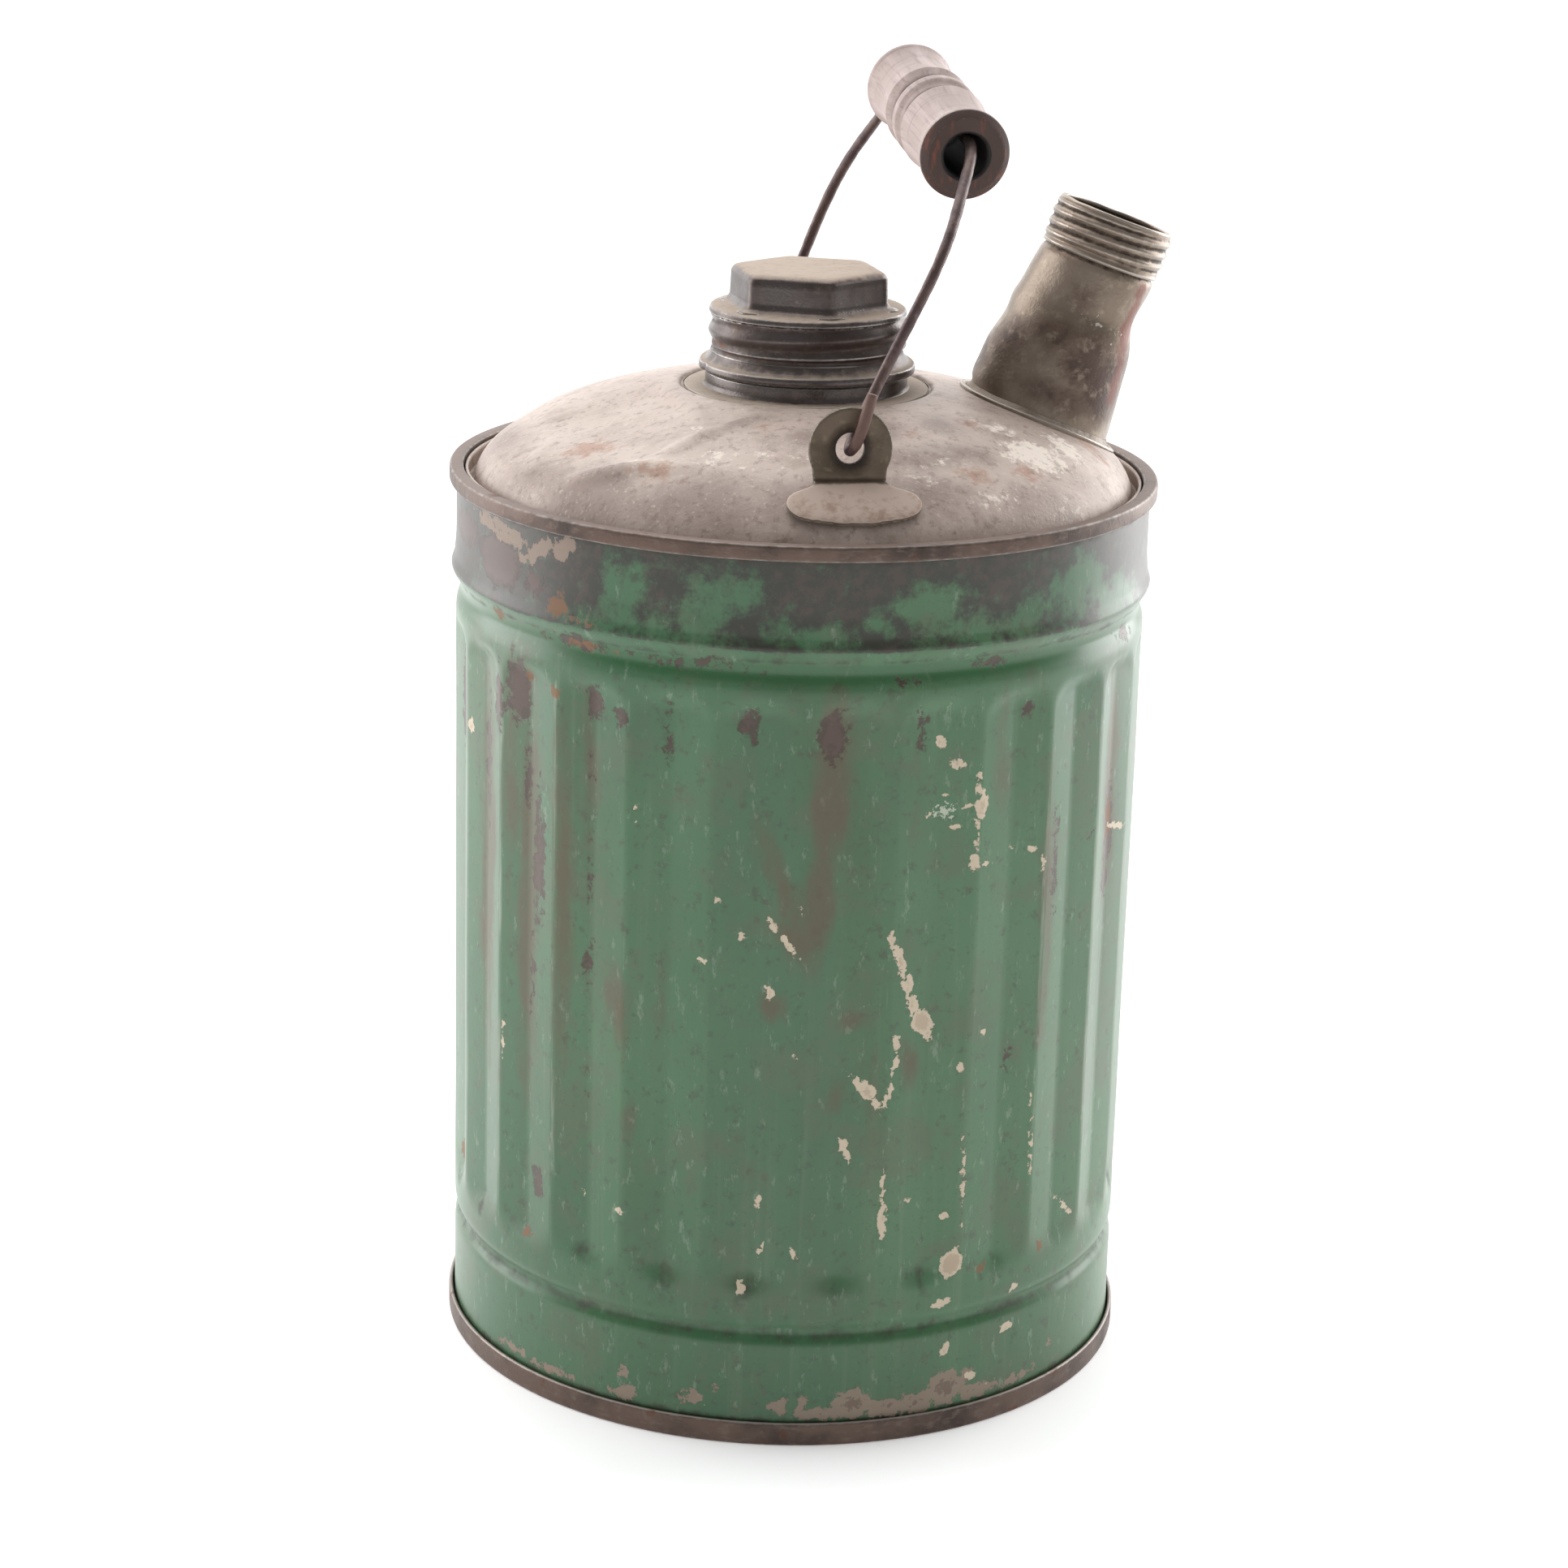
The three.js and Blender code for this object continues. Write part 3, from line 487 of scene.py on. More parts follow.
studio = {
    "lens": 87.757, "sensor": 36,
    "target": (-2.38, 0.38, 127.06), "distance": 871.2,
    "azimuth": -9.0, "elevation": 16.949, "roll": 1.593,  # degrees
    "skyWhite": 1.9, "skyFront": 0.34, "floorColour": "#f4f4f4", "floorGlow": 0.3,
    # name, place in mm, width and height in mm, watts
    "lamps": [
        ("leftPanel", (-850, 380, 320), 700, 900, 5),
        ("rightPanel", (850, 380, 320), 700, 900, 7),
        ("topPanel", (-150, 300, 1100), 900, 900, 3),
    ],
}


def aim(thing, target, roll=0.0):
    way = Vector(target) * mm - thing.location
    thing.rotation_mode = "QUATERNION"
    turn = Quaternion((0, 0, 1), math.radians(roll))
    thing.rotation_quaternion = way.to_track_quat("-Z", "Y") @ turn


def makeStudio():
    scene = bpy.context.scene
    scene.view_settings.view_transform = "Standard"
    around, above = math.radians(studio["azimuth"]), math.radians(studio["elevation"])
    level = math.cos(above)
    back = Vector((math.sin(around) * level, -math.cos(around) * level, math.sin(above)))
    camera = bpy.data.objects.new("camera", bpy.data.cameras.new("camera"))
    camera.data.lens, camera.data.sensor_width = studio["lens"], studio["sensor"]
    camera.location = (Vector(studio["target"]) + back * studio["distance"]) * mm
    aim(camera, studio["target"], studio["roll"])
    scene.collection.objects.link(camera)
    scene.camera = camera

    for name, spot, width, height, power in studio["lamps"]:
        light = bpy.data.lights.new(name, "AREA")
        light.shape, light.size, light.size_y, light.energy = "RECTANGLE", width * mm, height * mm, power
        lamp = bpy.data.objects.new(name, light)
        lamp.location = Vector(spot) * mm
        aim(lamp, (0, 0, 130))
        scene.collection.objects.link(lamp)

    world = bpy.data.worlds.new("whiteTent")
    scene.world = world
    world.use_nodes = True
    tree = world.node_tree
    # a white tent, open and dimmer on the side the viewer stands
    direction = addNode(tree, "TexCoord").outputs["Generated"]
    depth = addNode(tree, "SeparateXYZ", {0: direction}).outputs["Y"]
    dim = addNode(tree, "MapRange", {"Value": depth, "From Min": -0.3, "From Max": 0.65,
                                     "To Min": studio["skyFront"], "To Max": studio["skyWhite"]})
    seen = addNode(tree, "LightPath").outputs["Is Camera Ray"]
    strength = addNode(tree, "MapRange", {"Value": seen, "To Min": dim, "To Max": 1.0})
    tree.links.new(strength.outputs[0], tree.nodes["Background"].inputs["Strength"])
    tree.nodes["Background"].inputs["Color"].default_value = (1, 1, 1, 1)

    reach = 6000
    floor = meshFrom("studioFloor", [(-reach, -reach, 0), (reach, -reach, 0), (reach, reach, 0),
                                     (-reach, reach, 0)], [(0, 1, 2, 3)])
    # white paper lit from below as well, so that it stays white to the frame's edges
    paper = layered("studioPaper", {"colour": studio["floorColour"], "rough": 0.9}, [
        {"size": 3, "low": 0.3, "high": 0.7, "raise": 0.01},
    ])
    paper.node_tree.nodes["Principled BSDF"].inputs["Emission Color"].default_value = (1, 1, 1, 1)
    paper.node_tree.nodes["Principled BSDF"].inputs["Emission Strength"].default_value = studio["floorGlow"]
    floor.data.materials.append(paper)
    print("studio ready")


beadHeight, waistHeight, grooveHeight = 178.9, 173.9, 26.0
can = {
    "radius": 77, "sheet": 0.6, "handWave": 0.09,
    "flutes": 25, "fluteTurn": -7.4, "fluteDepth": 1.65, "fluteFoot": 33.5, "fluteHead": 168.5,
    "headRun": 4.0, "footRun": 7.0, "cornerRounding": 6.5,
    "columnsPerFlute": 18, "rowHeight": 0.9,
    # rolled rings: height, half height, how far out
    "rings": [(grooveHeight, 1.9, -1.35), (waistHeight, 2.3, -1.15), (beadHeight, 1.5, 0.9),
              (181.5, 3.0, 0.3)],
}
bodyWearAndPaintedLight = {
    # the band over the bead lost its paint: from where, how far in, how much of that the clean
    # marks save, and how much it hides of the bare ones
    "bandEdge": (177.6, 179.2), "bandDepth": 4.2, "cleanSaves": 0.3, "bandHidesBare": 4.5,
    # lines right round, as height, half height and strength
    # painted highlights: light lines along the bead's crest and over the flute heads
    "highlightLines": [(beadHeight, 0.9, 0.45), (170.2, 1.2, 0.27)],
    # painted shade: dark lines right round in the grooves and under the rims
    "shadeRings": [(5.4, 0.9, 0.8), (25.4, 1.6, 0.55), (176.7, 0.55, 0.75), (197.6, 0.9, 0.75)],
    # ridge lightening: real worn paint on the ridges plus a painted reflection that grows towards the sides
    "ridgeRubAndSheen": 0.9, "ridgeWidth": 5.5, "frontTurn": -4, "frontRidgeShare": 0.3,
    # painted shade in the flute hollows at their feet and heads
    "fluteFootShade": (37, 4.5, 0.62), "fluteHeadShade": (166, 2.0, 0.25),
}

# Marks on the body: degrees from the front ear, height, half width, half height, tilt.
chipMarks = [
    (14.5, 158.3, 1.3, 1.6, 20), (17.2, 153.3, 2.1, 1.2, -15), (21.9, 143.3, 1.6, 3.6, -8),
    (21.1, 148, 0.7, 3.2, 0), (21.1, 136.5, 0.6, 4, 0), (20.9, 131.5, 1.1, 2.2, 0),
    (13.2, 142.6, 1.2, 0.6, 25), (15.6, 146.4, 1.0, 0.7, -30), (17.4, 139.4, 1.4, 0.7, -20),
    (19.6, 143.8, 0.9, 0.5, 15), (23.4, 130.2, 1.2, 0.6, 0), (29, 132.4, 1.0, 0.6, 0),
    (33.2, 131.6, 1.8, 0.6, -10), (35.3, 128, 0.6, 2, 0),
    (-16.8, 116.4, 0.9, 1.3, 0), (-12.2, 103.8, 1.1, 1.8, 10), (-23, 110.2, 1.4, 0.7, -25),
    (-20.8, 124.3, 0.8, 0.7, 0), (-12, 118.8, 0.8, 2.2, 35), (-9.4, 115, 0.7, 3.2, 40),
    (7.3, 115, 0.9, 3.0, 20), (8.7, 110.6, 1.3, 3.8, 15), (10.0, 105.4, 1.1, 4.2, 12),
    (11.2, 100.6, 1.2, 3.6, 15), (13.0, 96.4, 2.4, 3.4, 35), (14.2, 93.4, 1.2, 1.8, 30),
    (2.2, 84.4, 0.8, 2.6, 45), (4.0, 81.6, 1.7, 2.6, 40), (5.6, 78.8, 0.9, 2.0, 20),
    (8.5, 92.2, 1.0, 2.2, 10), (8.3, 87, 0.6, 3.4, -15), (7.5, 82, 0.6, 3.0, -10),
    (0.3, 69.4, 1.1, 2.0, 15), (1.3, 66.4, 0.5, 1.1, 20), (6.9, 60.5, 0.5, 4.6, 0),
    (7.1, 52.2, 1.1, 4.0, 3), (7.3, 46.6, 0.4, 2.2, 0), (19.8, 39.4, 2.7, 3.4, -25),
    (18.2, 30.6, 2.6, 0.9, 5), (19, 19.2, 1.2, 1.7, -20), (31.4, 20.6, 1.8, 1.1, 0),
    (33, 29.8, 1.2, 0.8, 30), (24.3, 11.6, 1.4, 1.1, 0), (-15.6, 36.6, 0.9, 1.6, 0),
    (-12.5, 45.4, 0.6, 1.6, -20), (-13.2, 56.2, 0.5, 1.3, -10), (-7.2, 45.2, 0.7, 1.6, 10),
    (-36.8, 50, 1.2, 0.8, 0), (11.6, 55.8, 0.8, 0.6, 0), (18.3, 51, 0.9, 1.2, -20),
    (21.2, 57, 0.5, 8, 0), (21.1, 68, 0.5, 2.2, 0), (35.4, 62, 0.5, 6, 0), (35.2, 74, 0.5, 2, 0),
    (24.3, 92.2, 0.6, 1.0, 0), (-7.6, 90.3, 0.7, 0.9, 0), (61.5, 127.6, 5.2, 0.8, -14),
    (46.5, 43.6, 4.0, 0.6, -42), (-44.4, 51.5, 0.6, 1.2, 0), (-7.7, 122.5, 0.5, 1.0, 0),
    (-35, 140, 0.3, 2.0, 0), (-78, 147, 1.5, 1.8, 0), (-64, 81, 0.5, 4, 0), (20, 85, 0.8, 1.2, 0),
]
bareMarks = [
    (-80, 191, 22, 9, 0), (-66, 188, 18, 11, 0), (-56, 186, 9, 8, -20), (-47, 196.5, 22, 3.4, 0),
    (-39, 192, 8, 5, 30), (-31, 185, 5, 4, 0), (-13, 189, 8, 5, 10), (-3, 185, 6, 3, 0),
    (-6, 196, 26, 3.6, 0), (22, 197, 34, 1.6, 0), (30, 190, 3, 4, 0), (8, 181.5, 4, 1.6, 0),
    (43, 196, 14, 2.4, 0), (-25, 175, 15, 1.5, 0), (-48, 175.5, 9, 2.0, 0), (22, 174.6, 7, 1.6, 0),
    (9, 172.2, 4, 1.0, 0), (-60.5, 161, 4.5, 9, 0), (-58, 143, 1.6, 10, 0), (-55, 124, 3, 18, 0),
    (-56.5, 96, 1.4, 10, 0), (-54.5, 50, 2.6, 4, 0), (-43, 162.5, 3, 5, 0), (-38, 160.5, 2.2, 3.4, 0),
    (-43.8, 120, 0.9, 30, 0), (-44, 104, 1.6, 9, 0), (-29.5, 158, 1, 8, 0), (-16.6, 162.5, 2.6, 4.4, 0),
    (-3.2, 161, 3.8, 7, 0), (11.2, 161.5, 1.6, 5, 0), (31, 163, 1.6, 3.6, -15), (57, 130, 2.8, 14, 0),
    (56.6, 117, 3, 5, 0), (38.6, 128, 1.6, 14, 0), (-71, 142, 2.4, 16, 0), (-66, 157, 3, 9, 0),
    (48, 130.2, 2.4, 1.4, 0), (47, 196, 10, 4, 0), (-86, 150, 4, 14, 0), (29.5, 85, 1.6, 3, -15),
    (58, 172.4, 5, 2.4, 0), (140, 186, 30, 9, 0), (118, 120, 4, 22, 0), (150, 60, 5, 12, 0),
    (-140, 150, 6, 18, 0), (-120, 60, 4, 20, 0), (-165, 190, 26, 7, 0), (175, 100, 3, 26, 0),
    (95, 178, 20, 3, 0), (-110, 188, 18, 6, 0), (160, 170, 3, 4, 0), (-150, 90, 3, 7, 0),
]
stainMarks = [
    (-3.2, 150, 4.6, 22, 0), (-4.6, 126, 4.0, 14, -4), (-10.5, 128, 3.0, 14, 22), (-8.6, 116, 3.0, 6, 40),
    (1.6, 97.6, 3.8, 2.2, 0), (10.6, 88, 2.4, 5.0, 10), (-1.4, 80, 2.4, 4.0, 0), (-12, 101, 3.4, 3.4, 0),
    (-37, 96, 2.4, 9, 0), (-39.5, 99, 1.6, 6, 0), (-57.6, 118, 4.4, 46, 0), (-49, 120, 3.2, 40, 0),
    (-62, 140, 3, 26, 0), (-44, 150, 1.6, 16, 0), (5, 76, 1.6, 9, 0), (25.8, 150, 2, 14, 0),
    (37, 118, 3, 30, 0),
    (57, 140, 5, 30, 0), (-71, 122, 5, 44, 0), (-30, 100, 1.6, 8, 0), (-35, 72, 2, 4, 0),
    (120, 120, 7, 40, 0), (-130, 130, 8, 34, 0), (160, 70, 8, 22, 0), (-160, 120, 6, 30, 0),
]
rustMarks = [
    (-45, 175, 9, 1.6, -3), (-51, 163.5, 2.4, 2.2, 0), (-46, 180.5, 8, 1.3, 0), (-66, 176, 4, 2, 0),
    (-86, 42, 5, 3, 20), (57, 131, 2.4, 7, 0), (25.6, 37, 2.6, 1.8, 0), (39.2, 37, 2.6, 1.8, 0),
    (-57, 37, 2.6, 2.0, 0), (-58, 165, 2, 2, 0), (-49, 184.6, 1.4, 2, 0), (-50, 182, 4, 3, 0),
    (130, 176, 12, 1.8, 0), (-150, 175, 9, 1.6, 0), (170, 37, 4, 2, 0), (-125, 37, 4, 2, 0),
]
primerMarks = [
    (-66, 194.8, 11, 2.2, -6), (-55, 192.6, 6, 1.6, 30), (-49, 194.8, 4, 1.8, 30), (3.2, 9.2, 4.6, 3.6, 0),
    (-2.6, 7.2, 4.4, 1.6, 0), (9, 7.8, 5.6, 2.2, 0), (14, 7.6, 5.0, 2.4, 0), (19.6, 10.0, 4.4, 4.0, 0),
    (24.6, 7.6, 4.4, 1.8, 0), (-34.8, 7.6, 3.4, 1.8, 0), (-23.4, 9.4, 2.2, 1.6, 0), (-9, 8.8, 2.4, 1.6, 0),
    (-5.2, 9.4, 1.4, 1.6, 0), (-50, 7.2, 6, 0.9, 0), (-60, 7.6, 4, 0.8, 0), (24, 12, 1.2, 1.2, 0),
    (33, 7.4, 8, 0.8, 0), (-35, 12.4, 1.2, 1.0, 0), (43, 12.2, 0.7, 0.9, 0), (-19, 11.4, 0.8, 1.2, 0),
    (110, 8, 9, 3, 0), (150, 9, 6, 3.4, 0), (-120, 8.4, 10, 2.6, 0), (-160, 8, 6, 3, 0),
    (128, 190, 12, 3, 8), (-142, 193, 10, 3, 0), (100, 104, 1.6, 4, 20), (-105, 88, 1.4, 3, 0),
    (165, 140, 2.2, 3, 0), (-170, 62, 1.6, 2.6, 0), (140, 128, 1.6, 6, 10), (-128, 118, 1.2, 2.2, 0),
]
# where the top band kept its paint
cleanMarks = [
    (-38, 188, 4.5, 8, 0), (-34, 181.5, 9, 2.6, 0), (-24.5, 187, 5, 8, 0), (-17, 191, 3.6, 5, 0),
    (-28, 181, 12, 1.8, 0), (-44, 181, 5, 1.6, 0), (11, 188, 8, 3.6, 12), (4, 184, 3, 2, 0),
    (22, 182, 12, 2.4, 0), (30, 184, 4, 4, 0), (41, 187, 9, 7, 0), (-8, 182, 8, 1.4, 0),
    (52, 182, 10, 4, 0), (110, 187, 18, 7, 0), (150, 184, 16, 6, 0), (-110, 186, 14, 7, 0),
    (-155, 187, 20, 6, 0),
]
# tight groups of fine flecks
fleckMarks = [
    (15.5, 143, 6, 5.5, 0), (20.5, 136, 3.4, 6, 0), (23, 131, 4, 3, 0), (30, 132, 5.5, 1.6, 0),
    (35, 130, 1.6, 3, 0), (-35, 8.4, 4.4, 3, 0), (-22, 9.4, 4.4, 3, 0), (-8, 8.6, 5.4, 2.6, 0),
    (28, 8.4, 6, 2.4, 0), (-50, 7.6, 5, 1.8, 0), (3, 100, 2.4, 3, 0), (21, 92, 1.8, 3, 0),
    (2, 130.5, 3.6, 1.0, 12),
    (7, 50, 1.8, 7, 0), (21, 60, 1.4, 12, 0), (-8, 52, 1.6, 9, 0), (-13, 50, 1.4, 7, 0), (31, 28, 3, 3, 0),
    (64, 127, 8, 3, -12), (36, 70, 1.4, 16, 0), (58, 44, 5, 2, -30), (-8, 94, 2.4, 4, 0),
    (-29, 43, 2.6, 2.4, 0),
    (30, 9, 5, 2, 0), (120, 60, 5, 8, 0), (-130, 40, 5, 7, 0), (160, 110, 3, 8, 0),
]


def fluteAcross(angle):
    # 0 on a ridge, 1 in the middle of a flute
    turns = (np.degrees(angle) - can["fluteTurn"]) * can["flutes"] / 360
    return 2 * np.abs(turns - np.round(turns))


def fluteDepth(angle, height):
    # arched heads: the end of a flute is rounded off near its ridges
    half, corner = math.pi * can["radius"] / can["flutes"], can["cornerRounding"]
    across = fluteAcross(angle)
    inside = np.maximum(corner - across * half, 0)
    arch = corner - np.sqrt(np.maximum(corner ** 2 - inside ** 2, 0))
    head = smoothStep(0, can["headRun"], can["fluteHead"] - arch - height)
    foot = smoothStep(0, can["footRun"], height - can["fluteFoot"] - arch * 0.6)
    profile = 0.8 * across + 0.2 * (1 - (1 - across) ** 2)
    return can["fluteDepth"] * profile * head * foot


def bodyFields(angle, height):
    # where the enamel is chipped, stained, worn or grimy, and where shade and highlights are painted on, in
    # mm inside each mark or as a share
    wearAndPaintedLight = bodyWearAndPaintedLight
    degrees = np.degrees((angle + math.pi) % math.tau - math.pi) + 0 * height
    roundPlace = math.radians(1) * can["radius"]
    fields = {}
    for name, marks in (("chip", chipMarks), ("bare", bareMarks), ("stain", stainMarks),
                        ("rust", rustMarks), ("primer", primerMarks), ("flecks", fleckMarks),
                        ("clean", cleanMarks)):
        laid = [(x * roundPlace, y, a, b, tilt) for x, y, a, b, tilt in marks]
        fields[name] = spots(degrees * roundPlace, height, laid)
    inBand = smoothStep(*wearAndPaintedLight["bandEdge"], height)
    saved = wearAndPaintedLight["cleanSaves"] * np.clip(fields.pop("clean") + 3, 0, 5)
    fields["band"] = inBand * (wearAndPaintedLight["bandDepth"] - saved) - 3.0
    fields["bare"] = fields["bare"] - wearAndPaintedLight["bandHidesBare"] * inBand
    across = fluteAcross(angle)
    ribbed = smoothStep(0, 4, height - can["fluteFoot"]) * smoothStep(0, 4, can["fluteHead"] - height)
    ridge = np.clip(1 - across * wearAndPaintedLight["ridgeWidth"], 0, 1) * ribbed
    # painted shade in the rolled grooves at the waist and near the foot
    fields["deep"] = np.exp(-((height - waistHeight) / 2.3) ** 4) + 0.7 * bell(height, 24.4, 1.5)
    # the ridges are lighter towards the sides than at the front: painted reflection; the front keeps the
    # share of real worn paint
    frontShare = wearAndPaintedLight["frontRidgeShare"]
    sideSheen = smoothStep(24, 50, np.abs(degrees - wearAndPaintedLight["frontTurn"]))
    highlightLines = sum(much * bell(height, middle, half) for middle, half, much in wearAndPaintedLight["highlightLines"])
    fields["wearAndPaintedLight"] = ridge * wearAndPaintedLight["ridgeRubAndSheen"] * (frontShare + (1 - frontShare) * sideSheen) + highlightLines - 0.1
    # painted shade: darker in the flute hollows near their feet and heads, and in rings round the grooves and
    # under the rims
    middle, half, much = wearAndPaintedLight["fluteFootShade"]
    shadeAndGrime = much * bell(height, middle, half) * np.clip((across - 0.3) * 1.4, 0, 1) ** 1.5
    middle, half, much = wearAndPaintedLight["fluteHeadShade"]
    shadeAndGrime += much * bell(height, middle, half) * np.clip((across - 0.5) * 2, 0, 1)
    fields["shadeAndGrime"] = shadeAndGrime + sum(much * bell(height, middle, half) for middle, half, much in wearAndPaintedLight["shadeRings"])
    return fields


def makeBodySheet(material):
    low, high = (corner.z for corner in boxOf("body_shell"))
    heights = np.linspace(low, high, round((high - low) / can["rowHeight"]) + 1)
    columns = can["flutes"] * can["columnsPerFlute"]
    angle = np.arange(columns)[None, :] * math.tau / columns + math.radians(can["fluteTurn"])
    height = heights[:, None] + 0 * angle
    radius = can["radius"] + 0 * height
    for middle, half, out in can["rings"]:
        radius += out * bell(height, middle, half)
    waves = can["handWave"] * (1 + wobble(angle, height, 3)) * smoothStep(low, 12, height)
    radius -= fluteDepth(angle, height) + waves
    rows = np.stack([radius * np.sin(angle), -radius * np.cos(angle), height], -1)
    sheet = sheetFrom("bodySheet", rows)
    for name, values in bodyFields(angle, height).items():
        setField(sheet, name, values.ravel())
    addThickness(sheet, can["sheet"])
    place(sheet, "can", ["body_shell"], material)


lockSeam = {"valley": 13, "width": 6, "thick": 0.6, "rounding": 0.3, "clear": 0.12}


def makeLockSeam(material):
    # a folded strip down one valley, following flutes and rings
    low, high = boxOf("side_seam")
    angle = math.radians(can["fluteTurn"] + (lockSeam["valley"] + 0.5) * 360 / can["flutes"])
    heights = np.arange(low.z, high.z, 1.2)
    half, thick = lockSeam["width"] / 2, lockSeam["thick"]
    section = rounded([(-half, 0), (half, 0), (half, thick), (-half, thick)], lockSeam["rounding"], 3)
    rows = []
    for height in heights:
        lean = fluteDepth(np.array([angle + half / can["radius"]]), np.array([height]))[0]
        ring = sum(out * bell(height, middle, side) for middle, side, out in can["rings"])
        base = can["radius"] - lean + ring + lockSeam["clear"] + 0.06 * math.sin(height / 7)
        rows.append([(math.sin(angle) * (base + out) + math.cos(angle) * u,
                      -math.cos(angle) * (base + out) + math.sin(angle) * u, height) for u, out in section])
    seam = sheetFrom("lockSeam", np.array(rows), startCap=True, endCap=True)
    for name in ("chip", "bare", "stain", "rust", "primer", "shadeAndGrime", "flecks"):
        setField(seam, name, np.full(len(seam.data.vertices), -3.0))
    setField(seam, "wearAndPaintedLight", np.full(len(seam.data.vertices), 0.35))
    setField(seam, "band", 3.6 * smoothStep(*bodyWearAndPaintedLight["bandEdge"], pointsOf(seam)[:, 2]) - 3)
    place(seam, "can", ["side_seam"], material)


# nick: degrees round the rim, half width in degrees, depth
rims = {"fold": 1.2, "rounding": 0.75, "wave": 0.1, "around": 240, "overSkirt": 75.9,
        "nick": (204, 2.2, 0.35)}


def makeRim(name, node, material, atTop):
    low, high = boxOf(node)
    edge, inner = high.x, can["radius"] - can["sheet"] - 0.3
    end, way = (high.z, -1) if atTop else (low.z, 1)
    tall = high.z - low.z
    if atTop:
        inner = rims["overSkirt"]
    corners = [(inner - can["sheet"], 0), (edge, 0), (edge, tall), (can["radius"] + 0.3, tall),
               (can["radius"] + 0.3, rims["fold"]), (inner, rims["fold"]), (inner, tall),
               (inner - can["sheet"], tall)]
    outline = [(r, end + way * h) for r, h in rounded(corners, rims["rounding"], 4)]
    if atTop:
        outline.reverse()
    nickTurn, nickHalf, nickDepth = rims["nick"]

    def warp(radius, angle, height):
        wave = rims["wave"] * wobble(angle, 0, 11 if atTop else 12, 14)
        outer = smoothStep(can["radius"], edge, radius)
        away = smoothStep(0.3, 1.4, np.abs(height - end))
        nick = nickDepth * bell(np.degrees(angle), nickTurn, nickHalf)
        return radius - outer * (0.14 + wave + nick), height + away * wave * 0.6

    rim = turned(name, along(outline + outline[:1], 1.2)[:-1], rims["around"], warp)
    place(rim, "can", [node], material)


bottom = {"panel": 62, "step": 1.4, "recess": 4, "skirt": 1.2}


def makeBottomSheet(material):
    # recessed panel with one pressed step, as a stiffener
    edge, sheet = boxOf("bottom_head")[1].x, can["sheet"]
    under = [(edge - sheet, bottom["skirt"]), (edge - sheet, bottom["recess"]),
             (bottom["panel"] + 2, bottom["recess"]), (bottom["panel"], bottom["recess"] - bottom["step"])]
    line = rounded(under + [(0, bottom["recess"] - bottom["step"])], 1.2, 5, closed=False)
    over = [(r + (sheet if r > edge - 1 else 0), h + (0 if h < bottom["skirt"] + 0.1 else sheet))
            for r, h in line]
    outline = along([(0, over[-1][1])] + over[::-1], 3) + along(line, 3)
    made = turned("bottomSheet", outline[1:-1], 120, loop=False, ends=(True, True))
    place(made, "can", ["bottom_head"], material)


dome = {
    "rise": 24.6, "foot": 72.5, "channel": 196.6, "skirt": 74.9,
    "seat": 28.5, "seatDrop": 0.8, "bore": 18.6, "around": 300, "spacing": 0.75,
    # dents: x, y, half widths, tilt, depth; a negative depth is a raised crease
    "dents": [(-47, -14, 15, 24, 24, 3.4), (-47, -42, 16, 2.4, -24, -1.7), (-30, -8, 2.0, 20, 10, -0.9),
              (-27, -37, 13, 2.2, 26, -1.3), (-62, -22, 2.4, 12, -28, -0.6), (-24, -30, 7, 5, 30, 0.9),
              (-38, -2, 6, 9, 0, 0.8), (44, -44, 14, 10, 40, 0.9), (14, -52, 14, 6, 0, 0.5),
              (-20, 52, 15, 12, 0, 0.8), (30, 48, 12, 9, 30, 0.5), (-61, 20, 7, 16, 0, 0.5)],
}
shadeMarks = [
    (-52, -44, 15, 7, -46), (-33, -57, 17, 5.4, -24), (-8, -64, 12, 4.4, -4), (16, -62, 12, 4.2, 10),
    (14, -50, 9, 3.6, 10), (26, -46, 7, 3, 15), (42, -54, 12, 4.4, 40), (-62, -28, 10, 4, -66),
    (-6, -44, 6, 4, 0), (57, -40, 9, 3.4, 55), (8, -40, 6, 6, 0), (-58, -36, 8, 5, -50),
    (-20, -33, 5, 3, 0), (48, 40, 14, 8, -40), (-40, 50, 14, 8, 40), (0, 62, 16, 5, 0), (64, 12, 4, 14, 0),
    (-66, 4, 3.4, 14, 0), (20, 60, 9, 4, 0), (24, -33, 4, 5, 0),
]
bloomMarks = [
    (-26, -47.5, 5.2, 3.2, 0), (-21, -52.5, 5.4, 1.2, -25), (-17, -49, 3, 2, 0), (30, -59, 8, 2.2, 27),
    (22, -51, 6, 2.2, 20), (44, -38, 10, 7, 20), (-29, -31, 2.4, 3.4, 0), (-44, -40, 9, 1.6, -25),
    (37, -30, 6, 4, 0), (50, -50, 7, 2.2, 42), (16, -58, 4, 2, 0), (-10, -52, 4, 1.2, -10),
    (52, -28, 5, 8, 20), (-50, 36, 9, 6, 30), (34, 52, 8, 4, -30), (-14, 60, 7, 3, 0),
]
tintMarks = [
    (31, -31, 3.4, 5.2, 0), (28, -53, 6, 4, 20), (18, -41, 5, 3, 0), (-50, -25, 9, 6, -50),
    (-38, -48, 9, 4, -30), (40, -46, 6, 4, 40), (-14, -36, 5, 3, 0), (60, -20, 4, 9, 20),
    (-30, 55, 9, 5, 30), (40, 44, 8, 5, -40), (6, -66, 9, 2.4, 0),
]


def domeHeight(x, y):
    shareOut = np.clip(np.hypot(x, y) / dome["foot"], 0, 0.99999)
    return dome["channel"] + dome["rise"] * np.sqrt(1 - shareOut ** 2)


